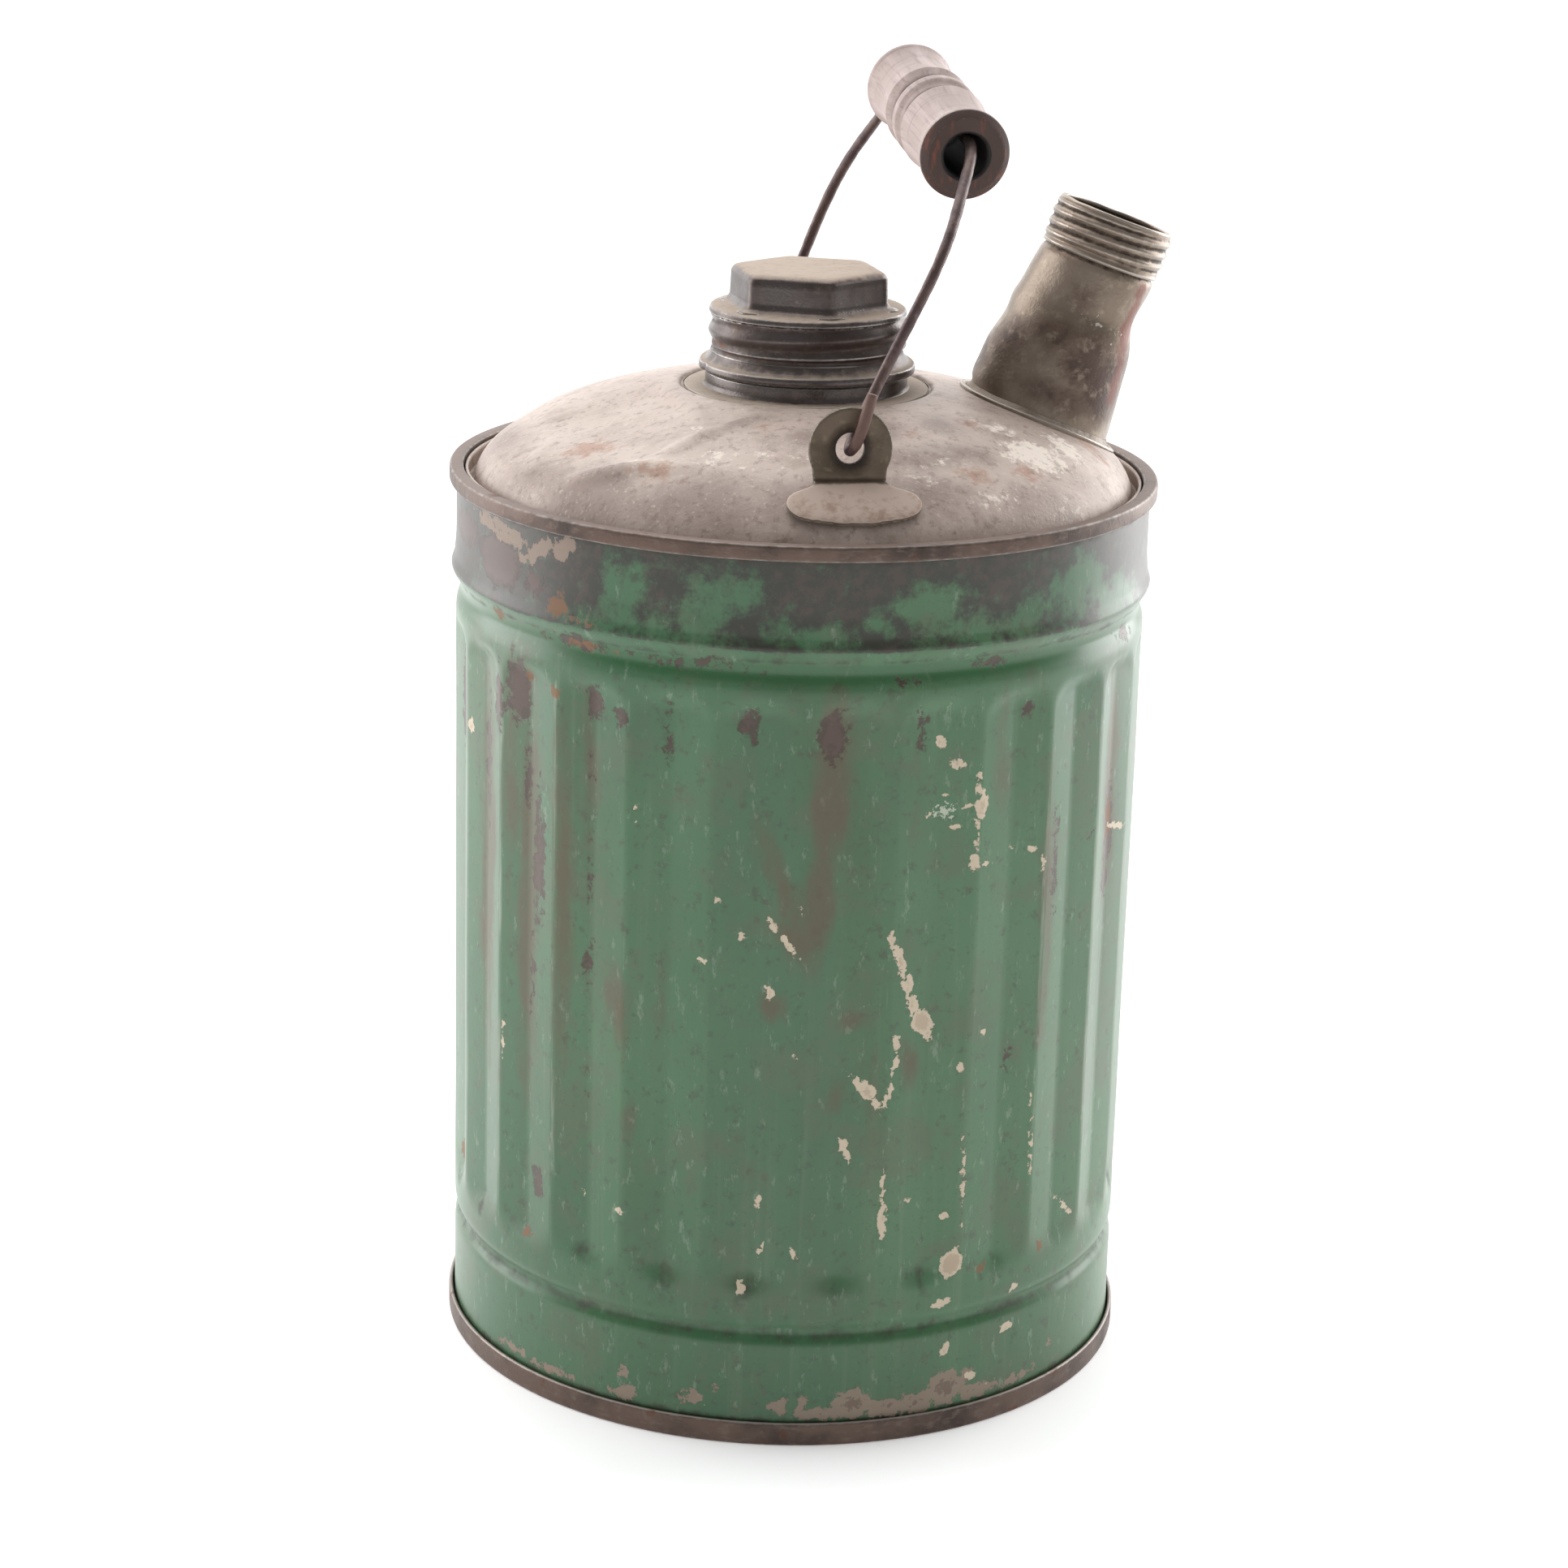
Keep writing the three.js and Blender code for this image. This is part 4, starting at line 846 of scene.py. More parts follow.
def dentDepth(x, y):
    total = 0 * x
    for middleX, middleY, halfX, halfY, tilt, depth in dome["dents"]:
        turn = math.radians(tilt)
        u, v = x - middleX, y - middleY
        a = (u * math.cos(turn) + v * math.sin(turn)) / halfX
        b = (v * math.cos(turn) - u * math.sin(turn)) / halfY
        total += depth * np.exp(-(a * a + b * b) * 1.2)
    far = np.hypot(x, y)
    return total * smoothStep(dome["foot"], dome["foot"] - 9, far) * smoothStep(dome["seat"], 34, far)


def makeDomeSheet(material):
    seatTop = float(domeHeight(dome["seat"], 0)) - dome["seatDrop"]
    skirtTop = boxOf("top_seam")[1].z - 0.9
    arc = np.linspace(0.02, math.acos(dome["seat"] / dome["foot"]), 70)
    curve = [(dome["foot"] * math.cos(a), dome["channel"] + dome["rise"] * math.sin(a)) for a in arc]
    channel = rounded([(dome["skirt"], skirtTop), (dome["skirt"], dome["channel"]),
                       (dome["foot"], dome["channel"]), curve[4]], 0.7, 5, closed=False)
    seat = rounded([curve[-2], (dome["seat"], float(domeHeight(dome["seat"], 0))),
                    (dome["seat"] - 0.8, seatTop), (dome["bore"], seatTop)], 0.5, 4, closed=False)
    line = along(channel[:-1] + curve[4:-2] + seat, dome["spacing"])
    radius, height = (np.array([p[k] for p in line])[:, None] for k in (0, 1))
    angle = np.arange(dome["around"])[None, :] * math.tau / dome["around"]
    x, y = radius * np.sin(angle), -radius * np.cos(angle)
    z = height + 0 * angle - dentDepth(x, y)
    z -= 0.12 * wobble(angle, radius, 5, 7, 30) * smoothStep(72, 60, radius) * smoothStep(29, 36, radius)
    rows = np.stack([x, y, z], -1)[::-1]
    sheet = sheetFrom("domeSheet", rows)
    cutSpoutHole(sheet)
    points = pointsOf(sheet)
    far = np.hypot(points[:, 0], points[:, 1])
    for name, marks in (("shade", shadeMarks), ("bloom", bloomMarks), ("rust", tintMarks)):
        depth = spots(points[:, 0], points[:, 1], marks)
        if name == "shade":
            depth = np.maximum(depth, -1.2 - 0.9 * np.abs(far - 71))
        setField(sheet, name, depth)
    channelDirt = 0.9 * bell(far, dome["foot"] + 0.9, 1.2)
    seatDirt = 0.75 * bell(far, dome["seat"] - 0.5, 0.9)
    front = 0.35 * bell(far, dome["foot"] - 3, 2.5) * smoothStep(-20, -60, points[:, 1])
    setField(sheet, "shadeAndGrime", channelDirt + seatDirt + front - 0.1)
    addThickness(sheet, can["sheet"])
    place(sheet, "can", ["top_head"], material)


mouth = next(m for m in frame["record"]["mounts"] if m["name"] == "spout_mouth")
spout = {
    "footRadius": 16.2, "topRadius": 12.25, "foot": 52.9, "length": 46.7, "collarLength": 11,
    "wall": 0.6, "hole": 14.4, "around": 120,
    "flangeRadius": 19.0, "flangeLift": 0.75, "solderWidth": 1.5,
    # dents of the tube: degrees round it, height, half widths in degrees and mm, depth
    "dents": [(81, 25.5, 30, 5, 1.9), (-99, 26, 46, 12, -0.5), (-97, 11, 40, 6, -1.6),
              (-99, 3.5, 46, 4, -1.1), (-99, 22.5, 26, 2.6, -0.5), (5, 24.5, 34, 3.2, 0.9),
              (-10, 19, 30, 3.5, -0.45), (150, 12, 25, 7, 0.5), (-60, 29, 20, 4, 0.35), (40, 14, 30, 6, 0.5)],
    # stains: degrees, height, half widths in mm, tilt
    "brown": [(-30, 18, 9, 4, 0), (-66, 14, 7, 5, 0), (10, 15, 8, 7, 0), (40, 11, 9, 9, 0),
              (-14, 27.5, 4.4, 3, 0), (-100, 8, 6, 5, 0), (0, 6, 14, 3, 0), (70, 16, 5, 8, 0),
              (150, 15, 9, 9, 0), (-150, 20, 8, 8, 0)],
    "red": [(45, 25, 3.4, 9, 0), (52, 12, 2.6, 7, 0), (43, 33, 2.4, 3, 0), (180, 20, 3, 6, 0)],
    "scratch": [(8, 23.5, 4, 0.5, -8), (26, 20.5, 0.4, 2.2, 20), (0, 24.6, 1.6, 0.4, 30),
                (34, 23, 1.4, 0.5, 0), (-4, 20, 0.3, 2.0, -20)],
}
spoutAxis = Vector(mouth["axis"]).normalized()
spoutSide = Vector((0, 1, 0)).cross(spoutAxis)
spoutBase = Vector((spout["foot"], 0, float(domeHeight(spout["foot"], 0))))


def spoutPoints(radius, angle, rise):
    # angle 0 faces the front ear's side, 90 degrees the outer side, as on the can itself
    across, deep = radius * np.sin(angle), -radius * np.cos(angle)
    parts = [across * spoutSide[k] + deep * (k == 1) + rise * spoutAxis[k] + spoutBase[k]
             for k in range(3)]
    return np.stack(np.broadcast_arrays(*parts), -1)


def riseOverDome(radius, angle, level):
    # how far along the spout's axis a point at that radius stands over the dome by a level
    rise = 0 * radius * angle
    for _ in range(14):
        at = spoutPoints(radius, angle, rise)
        rise = rise + (domeHeight(at[..., 0], at[..., 1]) + level - at[..., 2]) * 0.9
    return rise


def cutSpoutHole(sheet):
    # opens the dome under the spout, and rounds the cut's edge
    work = bmesh.new()
    work.from_mesh(sheet.data)
    axis, base = spoutAxis, spoutBase * mm
    hole = spout["hole"] * mm

    def farOut(point):
        away = point - base
        return away - axis * away.dot(axis)

    gone = [v for v in work.verts if farOut(v.co).length < hole and v.co.z > dome["channel"] * mm]
    bmesh.ops.delete(work, geom=gone, context="VERTS")
    for vertex in work.verts:
        reach = farOut(vertex.co)
        if vertex.is_boundary and reach.length < hole * 1.2:
            vertex.co += reach.normalized() * (hole - reach.length)
    work.to_mesh(sheet.data)
    work.free()


def makeSpoutCone(material):
    around = np.arange(spout["around"])[None, :] * math.tau / spout["around"]
    top = spout["length"] - 1.3
    underCollar = spout["topRadius"] + 0.75
    collarLow = spout["length"] - spout["collarLength"]
    share = np.linspace(0, 1, 60)[:, None]
    foot = riseOverDome(spout["footRadius"] + 0.4 + 0 * around, around, 0.4)
    rise = foot + (top - foot) * share
    slope = (spout["footRadius"] - underCollar) / collarLow
    radius = underCollar + slope * np.maximum(collarLow - rise, 0)
    radius -= 0.75 * smoothStep(collarLow - 0.9, collarLow + 0.2, rise)
    loose = smoothStep(0, 3.5, rise - foot) * smoothStep(collarLow, collarLow - 5, rise)
    for middle, high, halfTurn, half, depth in spout["dents"]:
        away = (np.degrees(around) - middle + 180) % 360 - 180
        radius -= loose * depth * bell(away, 0, halfTurn) * bell(rise, high, half)
    radius -= loose * 0.12 * (1 + wobble(around, rise, 21, 6, 30))
    cone = sheetFrom("spoutCone", spoutPoints(radius, around, rise))
    # painted shade at the tube's foot and under the collar
    low = np.exp(-(rise - foot) / 1.6)
    high = smoothStep(collarLow - 1.1, collarLow - 0.2, rise)
    setField(cone, "groove", np.maximum(low, high).ravel() * 0.9 - 0.2)
    degrees = (np.degrees(around) + 180) % 360 - 180 + 0 * rise
    roundPlace = math.radians(1) * spout["footRadius"]
    for name in ("brown", "red", "scratch"):
        laid = [(x * roundPlace, *rest) for x, *rest in spout[name]]
        setField(cone, name, spots(degrees * roundPlace, rise, laid).ravel())
    addThickness(cone, spout["wall"])
    place(cone, "can", ["spout_tube"], material)


def makeSaddle(material):
    # the flange at the spout's foot, bent to the dome with a turned-up edge
    angle = np.arange(spout["around"])[None, :] * math.tau / spout["around"]
    inner, outer, lift = spout["footRadius"] + 0.35, spout["flangeRadius"], spout["flangeLift"]
    under, over = 0.3, 0.3 + lift
    section = rounded([(inner, under), (outer, under), (outer, over + 0.5), (outer - 0.9, over + 0.5),
                       (outer - 1.4, over), (inner, over)], 0.35, 3)
    reach = np.array([p[0] for p in section])[:, None] + 0 * angle
    level = np.array([p[1] for p in section])[:, None]
    level = level + 0.08 * wobble(angle, 0, 31, 8) * (reach > outer - 2)
    edge = smoothStep(outer - 1.5, outer, reach) * 0.22 * (1 + wobble(angle, 0, 32, 9))
    reach = reach - edge
    rows = spoutPoints(reach, angle, riseOverDome(reach, angle, level))
    saddle = sheetFrom("spoutSaddle", rows, loop=True)
    # painted shade along the tube's foot
    setField(saddle, "groove", ((reach < inner + 1.0) * 0.5).ravel())
    for name in ("brown", "red", "scratch"):
        setField(saddle, name, np.full(len(saddle.data.vertices), -3.0))
    place(saddle, "can", ["spout_flange"], material)


def makeSpoutFillet(material):
    angle = np.arange(spout["around"])[None, :] * math.tau / spout["around"]
    inner, level = spout["footRadius"] + 0.2, 0.3 + spout["flangeLift"]
    width = spout["solderWidth"] * (0.75 + 0.18 * wobble(angle, 0, 41, 10))
    section = np.array([(0, 0), (1, 0), (0.62, 0.14), (0.32, 0.4), (0.1, 0.9), (0, 1)])
    reach = inner + section[:, :1] * width
    height = level + section[:, 1:] * width
    rows = spoutPoints(reach, angle, riseOverDome(reach, angle, height))
    fillet = sheetFrom("spoutFillet", rows, loop=True)
    place(fillet, "can", ["spout_solder"], material)


collar = {"pitch": 2.5, "crest": 0.6, "sleeve": 12.4, "wall": 0.6, "lip": 0.9, "threadLow": 36.3}


def makeMouthCollar(material):
    # rolled thread: one helix of crests, running out near the skirt and under the lip
    length, bore = spout["length"], spout["topRadius"] - spout["wall"]
    low = length - spout["collarLength"] + 0.3
    root = collar["sleeve"] + collar["wall"]
    outer = along([(root, low), (root, length - 0.35)], 0.16)
    sleeve, lipFoot = collar["sleeve"], length - collar["lip"]
    lip = rounded([(root, length - 0.5), (root - 0.2, length), (bore, length), (bore, lipFoot),
                   (sleeve, lipFoot), (sleeve, low), (root, low)], 0.25, 3, closed=False)
    line = outer + lip[1:]
    angle = np.arange(144)[None, :] * math.tau / 144
    radius, rise = (np.array([p[k] for p in line])[:, None] + 0 * angle for k in (0, 1))
    outside = np.arange(len(line))[:, None] < len(outer)
    phase = (rise - collar["threadLow"]) / collar["pitch"] - angle / math.tau
    crest = np.cos(phase * math.tau) * 0.5 + 0.5
    alive = smoothStep(low + 0.6, low + 2.2, rise) * smoothStep(length - 0.6, length - 1.8, rise)
    skirt = 0.6 * bell(rise, low + 0.5, 0.45)
    thread = collar["crest"] * (alive * crest ** 0.8 + skirt * (1 - alive))
    radius = radius + outside * thread
    chipped = 0.3 * np.clip(wobble(angle, 0, 51, 16), -1, 0.6) * smoothStep(length - 0.5, length, rise)
    rows = spoutPoints(radius, angle, np.minimum(rise + chipped * 0.8, length))
    made = sheetFrom("mouthCollar", rows, loop=True)
    # painted shade in the thread roots
    setField(made, "groove", (outside * (1 - crest) * alive * 0.95 - 0.15).ravel())
    for name in ("brown", "red", "scratch"):
        setField(made, name, np.full(len(made.data.vertices), -3.0))
    place(made, "can", ["spout_collar"], material)


neck = {"collarRadius": 22.3, "flangeThick": 0.7, "thread": 19.9, "threadDepth": 0.5, "pitch": 4.6,
        "crestHalf": 1.4, "bore": 18.4}


def makeThreadedNeck(material):
    low, high = boxOf("filler_neck")
    skirt = boxOf("fill_cap")[0].z - 0.3
    flange, thick = high.x, neck["flangeThick"]
    root, half = neck["thread"] - neck["threadDepth"], neck["crestHalf"]
    outline = [(neck["bore"], low.z), (flange, low.z), (flange, low.z + thick),
               (neck["collarRadius"] + 0.4, low.z + thick), (neck["collarRadius"], low.z + thick + 0.9),
               (neck["collarRadius"], skirt), (root, skirt)]
    for turn in range(2):
        crest = skirt + (turn + 0.5) * neck["pitch"]
        outline += [(root, crest - half), (neck["thread"], crest), (root, crest + half)]
    outline += [(root, high.z), (neck["bore"], high.z)]
    made = turned("threadedNeck", along(rounded(outline, 0.3, 3), 1.5), 180)
    points = pointsOf(made)
    far = np.hypot(points[:, 0], points[:, 1])
    # painted shade: the collar under the cap's hem darkened
    setField(made, "groove", (far < neck["collarRadius"] + 1.6) * 0.25)
    place(made, "can", ["filler_neck"], material)


def makeNeckFillet(material):
    low, high = boxOf("neck_solder")
    inner = boxOf("filler_neck")[1].x + 0.15
    section = [(inner, low.z), (high.x, low.z), (high.x - 0.25, low.z + 0.45), (inner, high.z)]

    def warp(radius, angle, height):
        run = 0.25 * (1 + wobble(angle, 0, 61, 12))
        return radius - run * (radius > inner + 0.3) * 0.8, height - run * (height > low.z + 0.3) * 0.8

    fillet = turned("neckFillet", rounded(section, 0.15, 2), 180, warp)
    place(fillet, "can", ["neck_solder"], material)


cap = {
    "bore": 20.3, "ceiling": 12.6, "hemHeight": 4.4, "root": 20.95, "crest": 0.85, "pitch": neck["pitch"],
    "threadLow": 6.3, "shoulder": 13.9, "shoulderRadius": 21.8, "hexAcross": 31.9, "hexTurn": 6,
    "hexCorner": 26, "around": 216, "spacing": 0.35,
    "tear": (278, 3.5, 0.5),  # in the hem: degrees, half width in degrees, depth
}


def hexRadius(angle, inset=0.0):
    # a hexagon with rounded corners, as a press leaves it
    total = 0 * angle
    for k in range(6):
        side = angle - math.radians(cap["hexTurn"] + 30 + 60 * k)
        total = total + np.maximum(np.cos(side), 0) ** cap["hexCorner"]
    return (cap["hexAcross"] / 2 - inset) / total ** (1 / cap["hexCorner"])


def makeScrewCap(material):
    low, high = boxOf("fill_cap")
    tall, hem, shoulderTop = high.z - low.z, cap["hemHeight"], cap["shoulder"]
    hemEdge, (tearTurn, tearHalf, tearDepth) = high.x, cap["tear"]
    inside = [(0.4, cap["ceiling"]), (cap["bore"], cap["ceiling"]), (cap["bore"], 0.3)]
    hemLine = rounded([(cap["bore"], 0), (hemEdge, 0), (hemEdge, 2.0), (hemEdge - 1.2, 2.1),
                       (cap["root"] + 0.7, hem - 0.9), (cap["root"], hem + 0.5)], 0.9, 6, closed=False)[1:]
    wall, wide = [(cap["root"], shoulderTop - 1.4)], cap["shoulderRadius"]
    shoulder = rounded([(cap["root"], shoulderTop - 1.4), (wide, shoulderTop - 1.2),
                        (wide - 0.3, shoulderTop + 0.1), (19.2, shoulderTop + 0.35)], 0.7, 5, closed=False)
    lathe = along(inside + hemLine + wall + shoulder, cap["spacing"])
    radius, height = (np.array([p[k] for p in lathe])[:, None] for k in (0, 1))
    angle = np.arange(cap["around"])[None, :] * math.tau / cap["around"]
    radius, height = radius + 0 * angle, height + 0 * angle
    outside = (radius > cap["bore"] + 0.3) & (height > hem + 0.2)
    phase = (height - cap["threadLow"]) / cap["pitch"] - angle / math.tau + 0.25
    crest = (np.cos(phase * math.tau) * 0.5 + 0.5) ** 0.85
    alive = smoothStep(hem + 0.4, hem + 1.6, height)
    alive = alive * smoothStep(shoulderTop - 0.9, shoulderTop - 2.0, height)
    radius = radius + outside * alive * cap["crest"] * crest
    hemBand = (radius > cap["root"] + 0.4) & (height < hem + 0.2)
    torn = tearDepth * bell(np.degrees(angle), tearTurn, tearHalf)
    radius = radius - hemBand * (0.12 * (1 + wobble(angle, 0, 71, 9)) + torn)
    height = height + hemBand * 0.14 * wobble(angle, 0, 72, 6) * (height > 1)
    underHem = (radius < cap["root"] + 0.5) & (radius > cap["bore"] + 0.2)
    # the cap's thread roots and the hollow over its hem, for painted shade and rust
    groove = outside * alive * np.clip(1 - crest * 1.6, 0, 1)
    groove = groove + underHem * bell(height, hem + 0.5, 0.8)
    # the hexagon: rings from its foot to the middle of its top
    foot = shoulderTop + 0.35
    rings = [(-2.1, foot), (-1.2, foot + 0.15), (-0.6, foot + 0.5), (-0.25, foot + 1.1)]
    rings += [(0.02 * k, foot + 1.1 + k * 0.55) for k in range(1, 9)]
    rings += [(0.2, tall - 1.5), (0.5, tall - 0.9), (1.0, tall - 0.4), (1.8, tall - 0.1), (2.9, tall)]
    rings += [(4 + 1.6 * k, tall - 0.02 * k) for k in range(7)]
    for inset, level in rings:
        radius = np.vstack([radius, hexRadius(angle, inset)])
        height = np.vstack([height, level + 0 * angle])
    top = np.clip((height - tall + 1.2) / 1.2, 0, 1) * 0.12 * wobble(angle, radius, 73, 5, 30)
    height = np.minimum(height - np.abs(top), tall)
    rows = np.stack([radius * np.sin(angle), -radius * np.cos(angle), height + low.z], -1)
    made = sheetFrom("screwCap", rows, startCap=True, endCap=True)
    filled = np.zeros(radius.shape)
    filled[:len(lathe)] = groove
    padded = np.zeros(len(made.data.vertices))
    padded[:filled.size] = filled.ravel() * 0.9 - 0.2
    setField(made, "groove", padded)
    place(made, "cap", ["fill_cap"], material)


def makeSealRing(material):
    low, high = boxOf("cap_gasket")
    inner, outer = neck["bore"], high.x
    section = rounded([(inner, low.z), (outer, low.z), (outer, high.z), (inner, high.z)], 0.35, 3)
    ring = turned("sealRing", section, 120)
    place(ring, "seal", ["cap_gasket"], material)


ear = {"width": 17.7, "neckWidth": 14.6, "footWidth": 29, "footLength": 10.3, "eye": 3.0,
       "thick": 1.1, "bend": 7.3, "stand": 60, "dish": 0.9, "voxel": 0.34, "follow": 0.62}


def earBlank():
    # the flat blank, cut with its eye, before it is bent: across, up from the eye
    half, narrow, wide = ear["width"] / 2, ear["neckWidth"] / 2, ear["footWidth"] / 2
    bend, toe = -ear["bend"], -ear["bend"] - ear["footLength"]
    arc = [math.radians(a) for a in range(-28, 209, 6)]
    outer = [(half * math.cos(a), half * math.sin(a)) for a in arc]
    left = rounded([(-narrow - 0.4, bend + 1), (-narrow - 0.4, bend - 1.4), (-wide + 1.2, bend - 3.4),
                    (-wide, bend - 6.4), (-wide + 2.4, toe + 1.2), (-3, toe)], 4.0, 8, closed=False)
    outline = outer + left + [(-x, y) for x, y in left[::-1]]
    eye = [(ear["eye"] * math.cos(a), ear["eye"] * 1.08 * math.sin(a))
           for a in np.linspace(0, math.tau, 40, endpoint=False)]
    curve = bpy.data.curves.new("earBlank", "CURVE")
    curve.dimensions, curve.fill_mode, curve.extrude = "2D", "BOTH", ear["thick"] / 2
    for loop in (outline, eye):
        spline = curve.splines.new("POLY")
        spline.points.add(len(loop) - 1)
        for point, (u, v) in zip(spline.points, loop):
            point.co = (u, v, 0, 1)
        spline.use_cyclic_u = True
    blank = bpy.data.objects.new("earBlank", curve)
    bpy.context.scene.collection.objects.link(blank)
    flat = bpy.data.objects.new("earFlat", bpy.data.meshes.new_from_object(blank))
    bpy.context.scene.collection.objects.link(flat)
    remesh = flat.modifiers.new("even", "REMESH")
    remesh.mode, remesh.voxel_size, remesh.use_smooth_shade = "VOXEL", ear["voxel"], True
    smooth = flat.modifiers.new("soft", "SMOOTH")
    smooth.factor, smooth.iterations = 0.5, 2
    bpy.context.view_layer.update()
    seen = flat.evaluated_get(bpy.context.evaluated_depsgraph_get())
    points = np.array([v.co[:] for v in seen.data.vertices])
    faces = [tuple(p.vertices) for p in seen.data.polygons]
    for thing in (blank, flat):
        bpy.data.objects.remove(thing)
    return points, faces


def makeEar(name, node, turn, blank, material):
    points, faces = blank
    u, v, w = points.T
    fromEye = np.hypot(u, v)
    eyeHeight = float(domeHeight(ear["stand"], 0)) + ear["bend"]
    dished = ear["dish"] * smoothStep(6.2, 3.2, fromEye)
    side = math.cos(turn)
    lug = np.stack([u, -ear["stand"] - w + dished + 0.02 * u * side, eyeHeight + v], -1)
    past = np.maximum(-ear["bend"] + 0.9 - v, 0)
    outY = -ear["stand"] - past
    lift = 0.45 + 0.016 * past ** 2
    foot = np.stack([u, outY, domeHeight(u * ear["follow"], outY) + lift + ear["thick"] / 2 + w], -1)
    share = smoothStep(-0.6, 1.6, -ear["bend"] + 0.9 - v)[:, None]
    bent = lug * (1 - share) + foot * share
    spin = np.array([[math.cos(turn), -math.sin(turn), 0], [math.sin(turn), math.cos(turn), 0], [0, 0, 1]])
    made = meshFrom(name, bent @ spin.T, faces)
    # painted shade round the eye
    setField(made, "eye", smoothStep(6.4, 3.0, fromEye) * 0.95 + 0.1 * (v < -3))
    setField(made, "foot", smoothStep(1.0, 3.0, past) * smoothStep(0.2, 0.45, w) * (0.55 + 0.05 * past))
    place(made, "can", [node], material)


def makeEarFillet(name, node, way, material):
    # solder run in behind the lug, a lumpy little bank
    low, high = boxOf(node)
    across = np.linspace(low.x + 0.2, high.x - 0.2, 40)
    near, far = (low.y, high.y) if way < 0 else (high.y, low.y)
    rows = []
    for x in across:
        ends = 1 - abs(x / (high.x - 0.1)) ** 4
        bump = 0.85 + 0.12 * math.sin(x * 1.9 + way) + 0.08 * math.sin(x * 4.3)
        y1 = near + (far - near) * ends * bump
        base = [domeHeight(x, near) + 0.3, domeHeight(x, y1) + 0.3]
        top = base[0] + 1.0 * ends * bump
        middle = (near + y1) / 2
        rows.append([(x, near, base[0]), (x, y1, base[1]),
                     (x, middle, domeHeight(x, middle) + 0.3 + 0.45 * ends * bump), (x, near, top)])
    rows = np.array(rows)
    fillet = sheetFrom(name, rows, startCap=True, endCap=True)
    place(fillet, "can", [node], material)


bail = {
    "wire": 1.25, "sides": 20, "perSpan": 14, "inGrip": (0.03, 0.1, 0.3, 0.7, 0.9, 0.97),
    "hang": 2.4, "gripLength": 59, "gripShift": 1.5,
    "gripFront": (62.6, 27), "gripRear": (69.1, 22.4),
    # from each cut end to the grip: distance inside the ear, height over the eyes, lean in degrees
    "front": [(-3.2, 12.6, 17), (-3.2, 4.8, 20), (-2.4, 1.4, 24), (0, -0.4, 26), (2.4, 1.4, 26),
              (3.3, 4.8, 26.5), (5.2, 14.4, 26.6), (6.2, 24, 26.7), (6.9, 33, 26.8), (8.2, 40.4, 26.8),
              (11.8, 47.2, 26.9), (17, 53, 26.9), (23.2, 58.4, 27), (27.8, 62.4, 27)],
    "rear": [(-3.2, 11, 20), (-3.2, 4.8, 20), (-2.4, 1.4, 20), (0, -0.4, 20), (2.4, 1.4, 20),
             (3.3, 4.8, 20), (2.9, 14, 20.1), (2.5, 24, 20.3), (2.4, 33, 20.6), (4.2, 41, 20.8),
             (8.4, 48.4, 21), (14.5, 56, 21.5), (21.4, 63.6, 22), (27, 68.6, 22.4)],
}
bailJoint = next(j for j in frame["joints"] if j["name"] == "bail_swing")
gripJoint = next(j for j in frame["joints"] if j["name"] == "grip_spin")


def bailPoint(y, height, lean):
    turn = math.radians(lean)
    eyeLine = bailJoint["pos_m"][2] / mm
    return np.array([height * math.sin(turn), y, eyeLine + height * math.cos(turn)])


def curveThrough(points, perSpan):
    # centripetal Catmull-Rom, so that the wire keeps to its points without overshooting
    points = [2 * points[0] - points[1], *points, 2 * points[-1] - points[-2]]
    line = []
    for p0, p1, p2, p3 in zip(points, points[1:], points[2:], points[3:]):
        d0, d1, d2 = (math.sqrt(np.linalg.norm(b - a)) for a, b in ((p0, p1), (p1, p2), (p2, p3)))
        t1 = ((p1 - p0) / d0 - (p2 - p0) / (d0 + d1) + (p2 - p1) / d1) * d1
        t2 = ((p2 - p1) / d1 - (p3 - p1) / (d1 + d2) + (p3 - p2) / d2) * d1
        for k in range(perSpan):
            t = k / perSpan
            bend, twist = 3 * (p2 - p1) - 2 * t1 - t2, 2 * (p1 - p2) + t1 + t2
            line.append(p1 + t1 * t + bend * t ** 2 + twist * t ** 3)
    return np.array(line + [points[-2]])


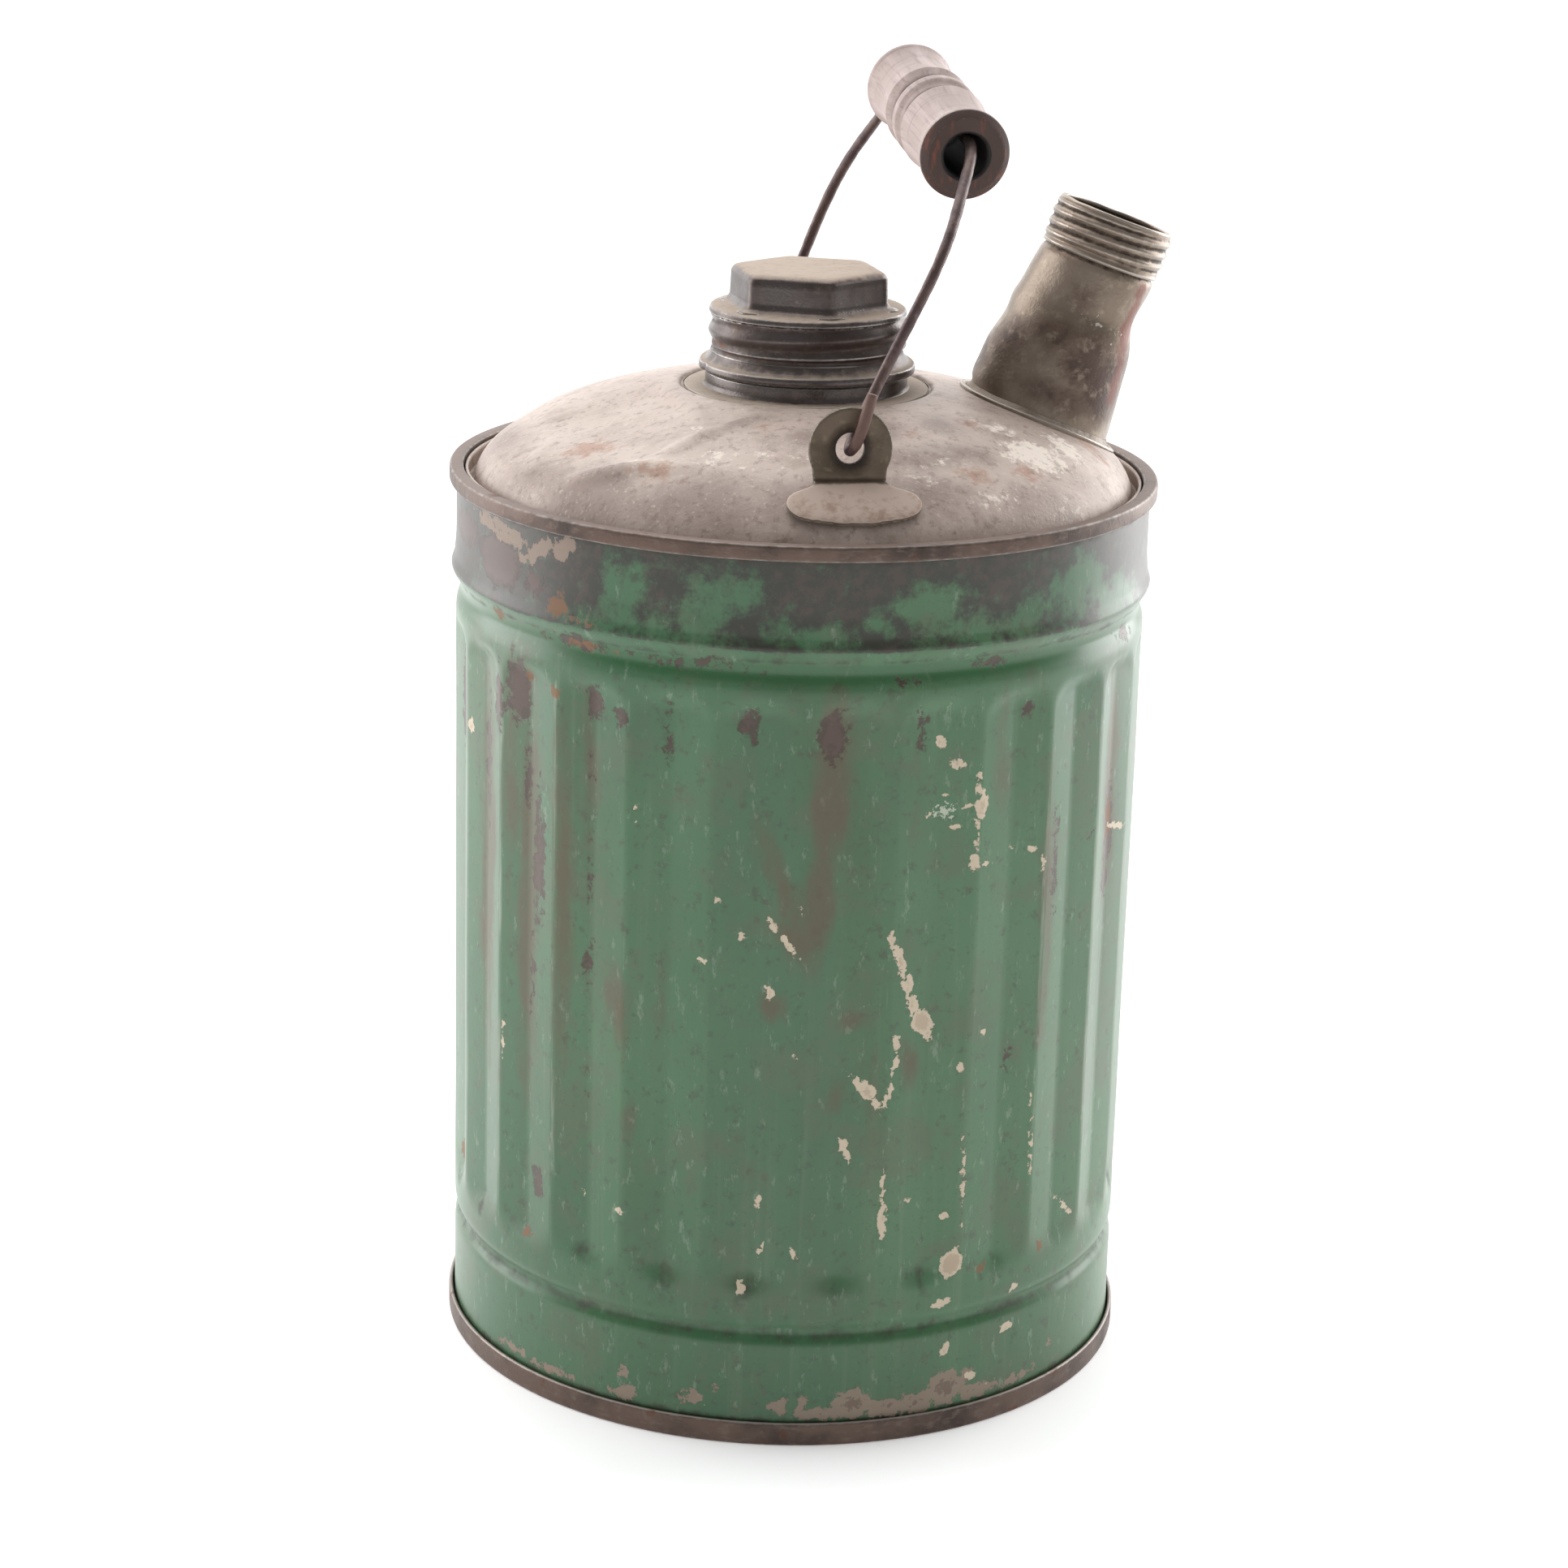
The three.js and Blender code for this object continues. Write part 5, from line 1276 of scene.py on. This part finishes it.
def makeBailRod(material):
    stand = ear["stand"]
    front = [bailPoint(inside - stand, h, lean) for inside, h, lean in bail["front"]]
    rear = [bailPoint(stand - inside, h, lean) for inside, h, lean in bail["rear"]]
    ends = []
    for side, (height, lean) in ((-0.5, bail["gripFront"]), (0.5, bail["gripRear"])):
        over = bailPoint(0, bail["hang"], lean) - bailPoint(0, 0, lean)
        ends.append(bailPoint(bail["gripShift"] + side * bail["gripLength"], height, lean) + over)
    straight = [ends[0] + (ends[1] - ends[0]) * share for share in bail["inGrip"]]
    line = curveThrough(front + straight + rear[::-1], bail["perSpan"])
    ways = np.gradient(line, axis=0)
    ways /= np.linalg.norm(ways, axis=1)[:, None]
    side = np.cross(ways[0], (0, 1, 0))
    angle = np.arange(bail["sides"]) * math.tau / bail["sides"]
    steps = np.concatenate([[0], np.cumsum(np.linalg.norm(np.diff(line, axis=0), axis=1))])
    whole = steps[-1]
    rows, far = [], []
    for point, way, step in zip(line, ways, steps):
        side = side - way * side.dot(way)
        side /= np.linalg.norm(side)
        other = np.cross(way, side)
        waves = math.sin(step * 0.9) * math.sin(step * 0.23 + 1) + 0.4 * math.sin(step * 2.1)
        bumps = 1 - 0.035 * (1 + waves)
        cut = min(1.0, 0.9 + 0.1 * min(step, whole - step) / 0.4)
        outOfRound = (1 + 0.02 * np.sin(2 * angle + step * 0.1)) / 1.02
        reach = bail["wire"] * np.minimum(bumps * cut, 1) * outOfRound
        spokes = np.cos(angle)[:, None] * side + np.sin(angle)[:, None] * other
        rows.append(point + reach[:, None] * spokes)
        far += [min(step, whole - step)] * len(angle)
    rod = sheetFrom("bailRod", np.array(rows), startCap=True, endCap=True)
    far += [0.0, 0.0]
    setField(rod, "tail", smoothStep(20, 6, np.array(far)))
    place(rod, "bail", ["bail_wire"], material)


grip = {
    "bore": 4.7, "around": 144, "spacing": 0.5,
    # half of the turned outline, from the end to the middle: distance from the middle, radius
    "face": 8.3, "end": 9.9, "rim": 1.3, "waist": 8.75, "shoulder": (8.0, 9.75), "groove": (4.7, 8.1),
    "beadFoot": (2.5, 8.8), "bead": (1.2, 9.7),
}


def makeTurnedGrip(material):
    end = bail["gripLength"] / 2
    shoulderOut = grip["shoulder"][0]
    waist = []
    for k in range(1, 20):
        # the long hollow between rim and shoulder, deepest nearer the rim
        t = k / 20
        flare = grip["end"] + (grip["shoulder"][1] - grip["end"]) * t
        hollow = (flare - grip["waist"]) * math.sin(math.pi * t ** 0.75) ** 0.9
        waist.append((end - 2.3 + (shoulderOut - end + 2.3) * t, flare - hollow))
    half = [(end, grip["bore"] + 0.5), (end, grip["face"]), (end - grip["rim"], grip["end"] - 0.12),
            (end - 2.3, grip["end"])] + waist
    half += [grip["shoulder"], (shoulderOut - 0.5, grip["shoulder"][1] - 0.25), grip["groove"],
             grip["beadFoot"], grip["bead"]]
    line = [(r, -s) for s, r in half] + [(r, s) for s, r in half[::-1]]
    bore = [(grip["bore"], end - 0.6), (grip["bore"], -end + 0.6)]
    outline = along(rounded(line + bore, 0.35, 3), grip["spacing"])

    def warp(radius, angle, height):
        worn = 0.05 * (1 + wobble(angle, height, 81, 7, 40)) * (radius > 7)
        hole = 0.15 * wobble(angle, height, 82, 4, 60) * (radius < 5.3)
        return radius - worn + np.minimum(hole, 0.12), height

    made = turned("turnedGrip", outline, grip["around"], warp)
    # the grain runs along the grip, so its texture keeps the place it had before it is laid on its axis
    grain = made.data.attributes.new("grain", "FLOAT_VECTOR", "POINT")
    grain.data.foreach_set("vector", (pointsOf(made) * mm).ravel())
    points = pointsOf(made)
    far, out = np.hypot(points[:, 0], points[:, 1]), np.abs(points[:, 2])
    setField(made, "endGrain", smoothStep(end - 1.9, end - 1.2, out))
    # painted shade: the bore and the turned grooves darkened
    setField(made, "bore", smoothStep(5.9, 5.1, far))
    setField(made, "groove", 0.9 * bell(out, 4.6, 1.5) + 0.4 * bell(out, end - 9, 2))
    axis = Vector(gripJoint["axis"])
    made.data.transform(Matrix.Translation(Vector(gripJoint["pos_m"]))
                        @ Vector((0, 0, 1)).rotation_difference(axis).to_matrix().to_4x4())
    place(made, "grip", ["bail_grip"], material)


makeStudio()
enamel, seamSteel, tinplate = wornEnamel(), oxidisedSteel(), dustyTinplate()
capSteel, spoutTin, solder = bronzedSteel(), stainedTinplate(), oldSolder()
earTin, wireSteel, beech, rubber = oliveTinplate(), brownedWire(), weatheredBeech(), agedRubber()
print("materials ready")

makeBodySheet(enamel)
makeLockSeam(enamel)
makeRim("topRim", "top_seam", seamSteel, True)
makeRim("bottomRim", "bottom_seam", seamSteel, False)
makeBottomSheet(seamSteel)
makeDomeSheet(tinplate)
print("can ready")

makeSpoutCone(spoutTin)
makeSaddle(spoutTin)
makeSpoutFillet(solder)
makeMouthCollar(spoutTin)
print("spout ready")

makeThreadedNeck(capSteel)
makeNeckFillet(solder)
makeScrewCap(capSteel)
makeSealRing(rubber)
print("filler ready")

blank = earBlank()
makeEar("frontEar", "ear_front", 0, blank, earTin)
makeEar("rearEar", "ear_rear", math.pi, blank, earTin)
makeEarFillet("frontEarFillet", "ear_solder_front", -1, solder)
makeEarFillet("rearEarFillet", "ear_solder_rear", 1, solder)
makeBailRod(wireSteel)
makeTurnedGrip(beech)
print("bail ready")
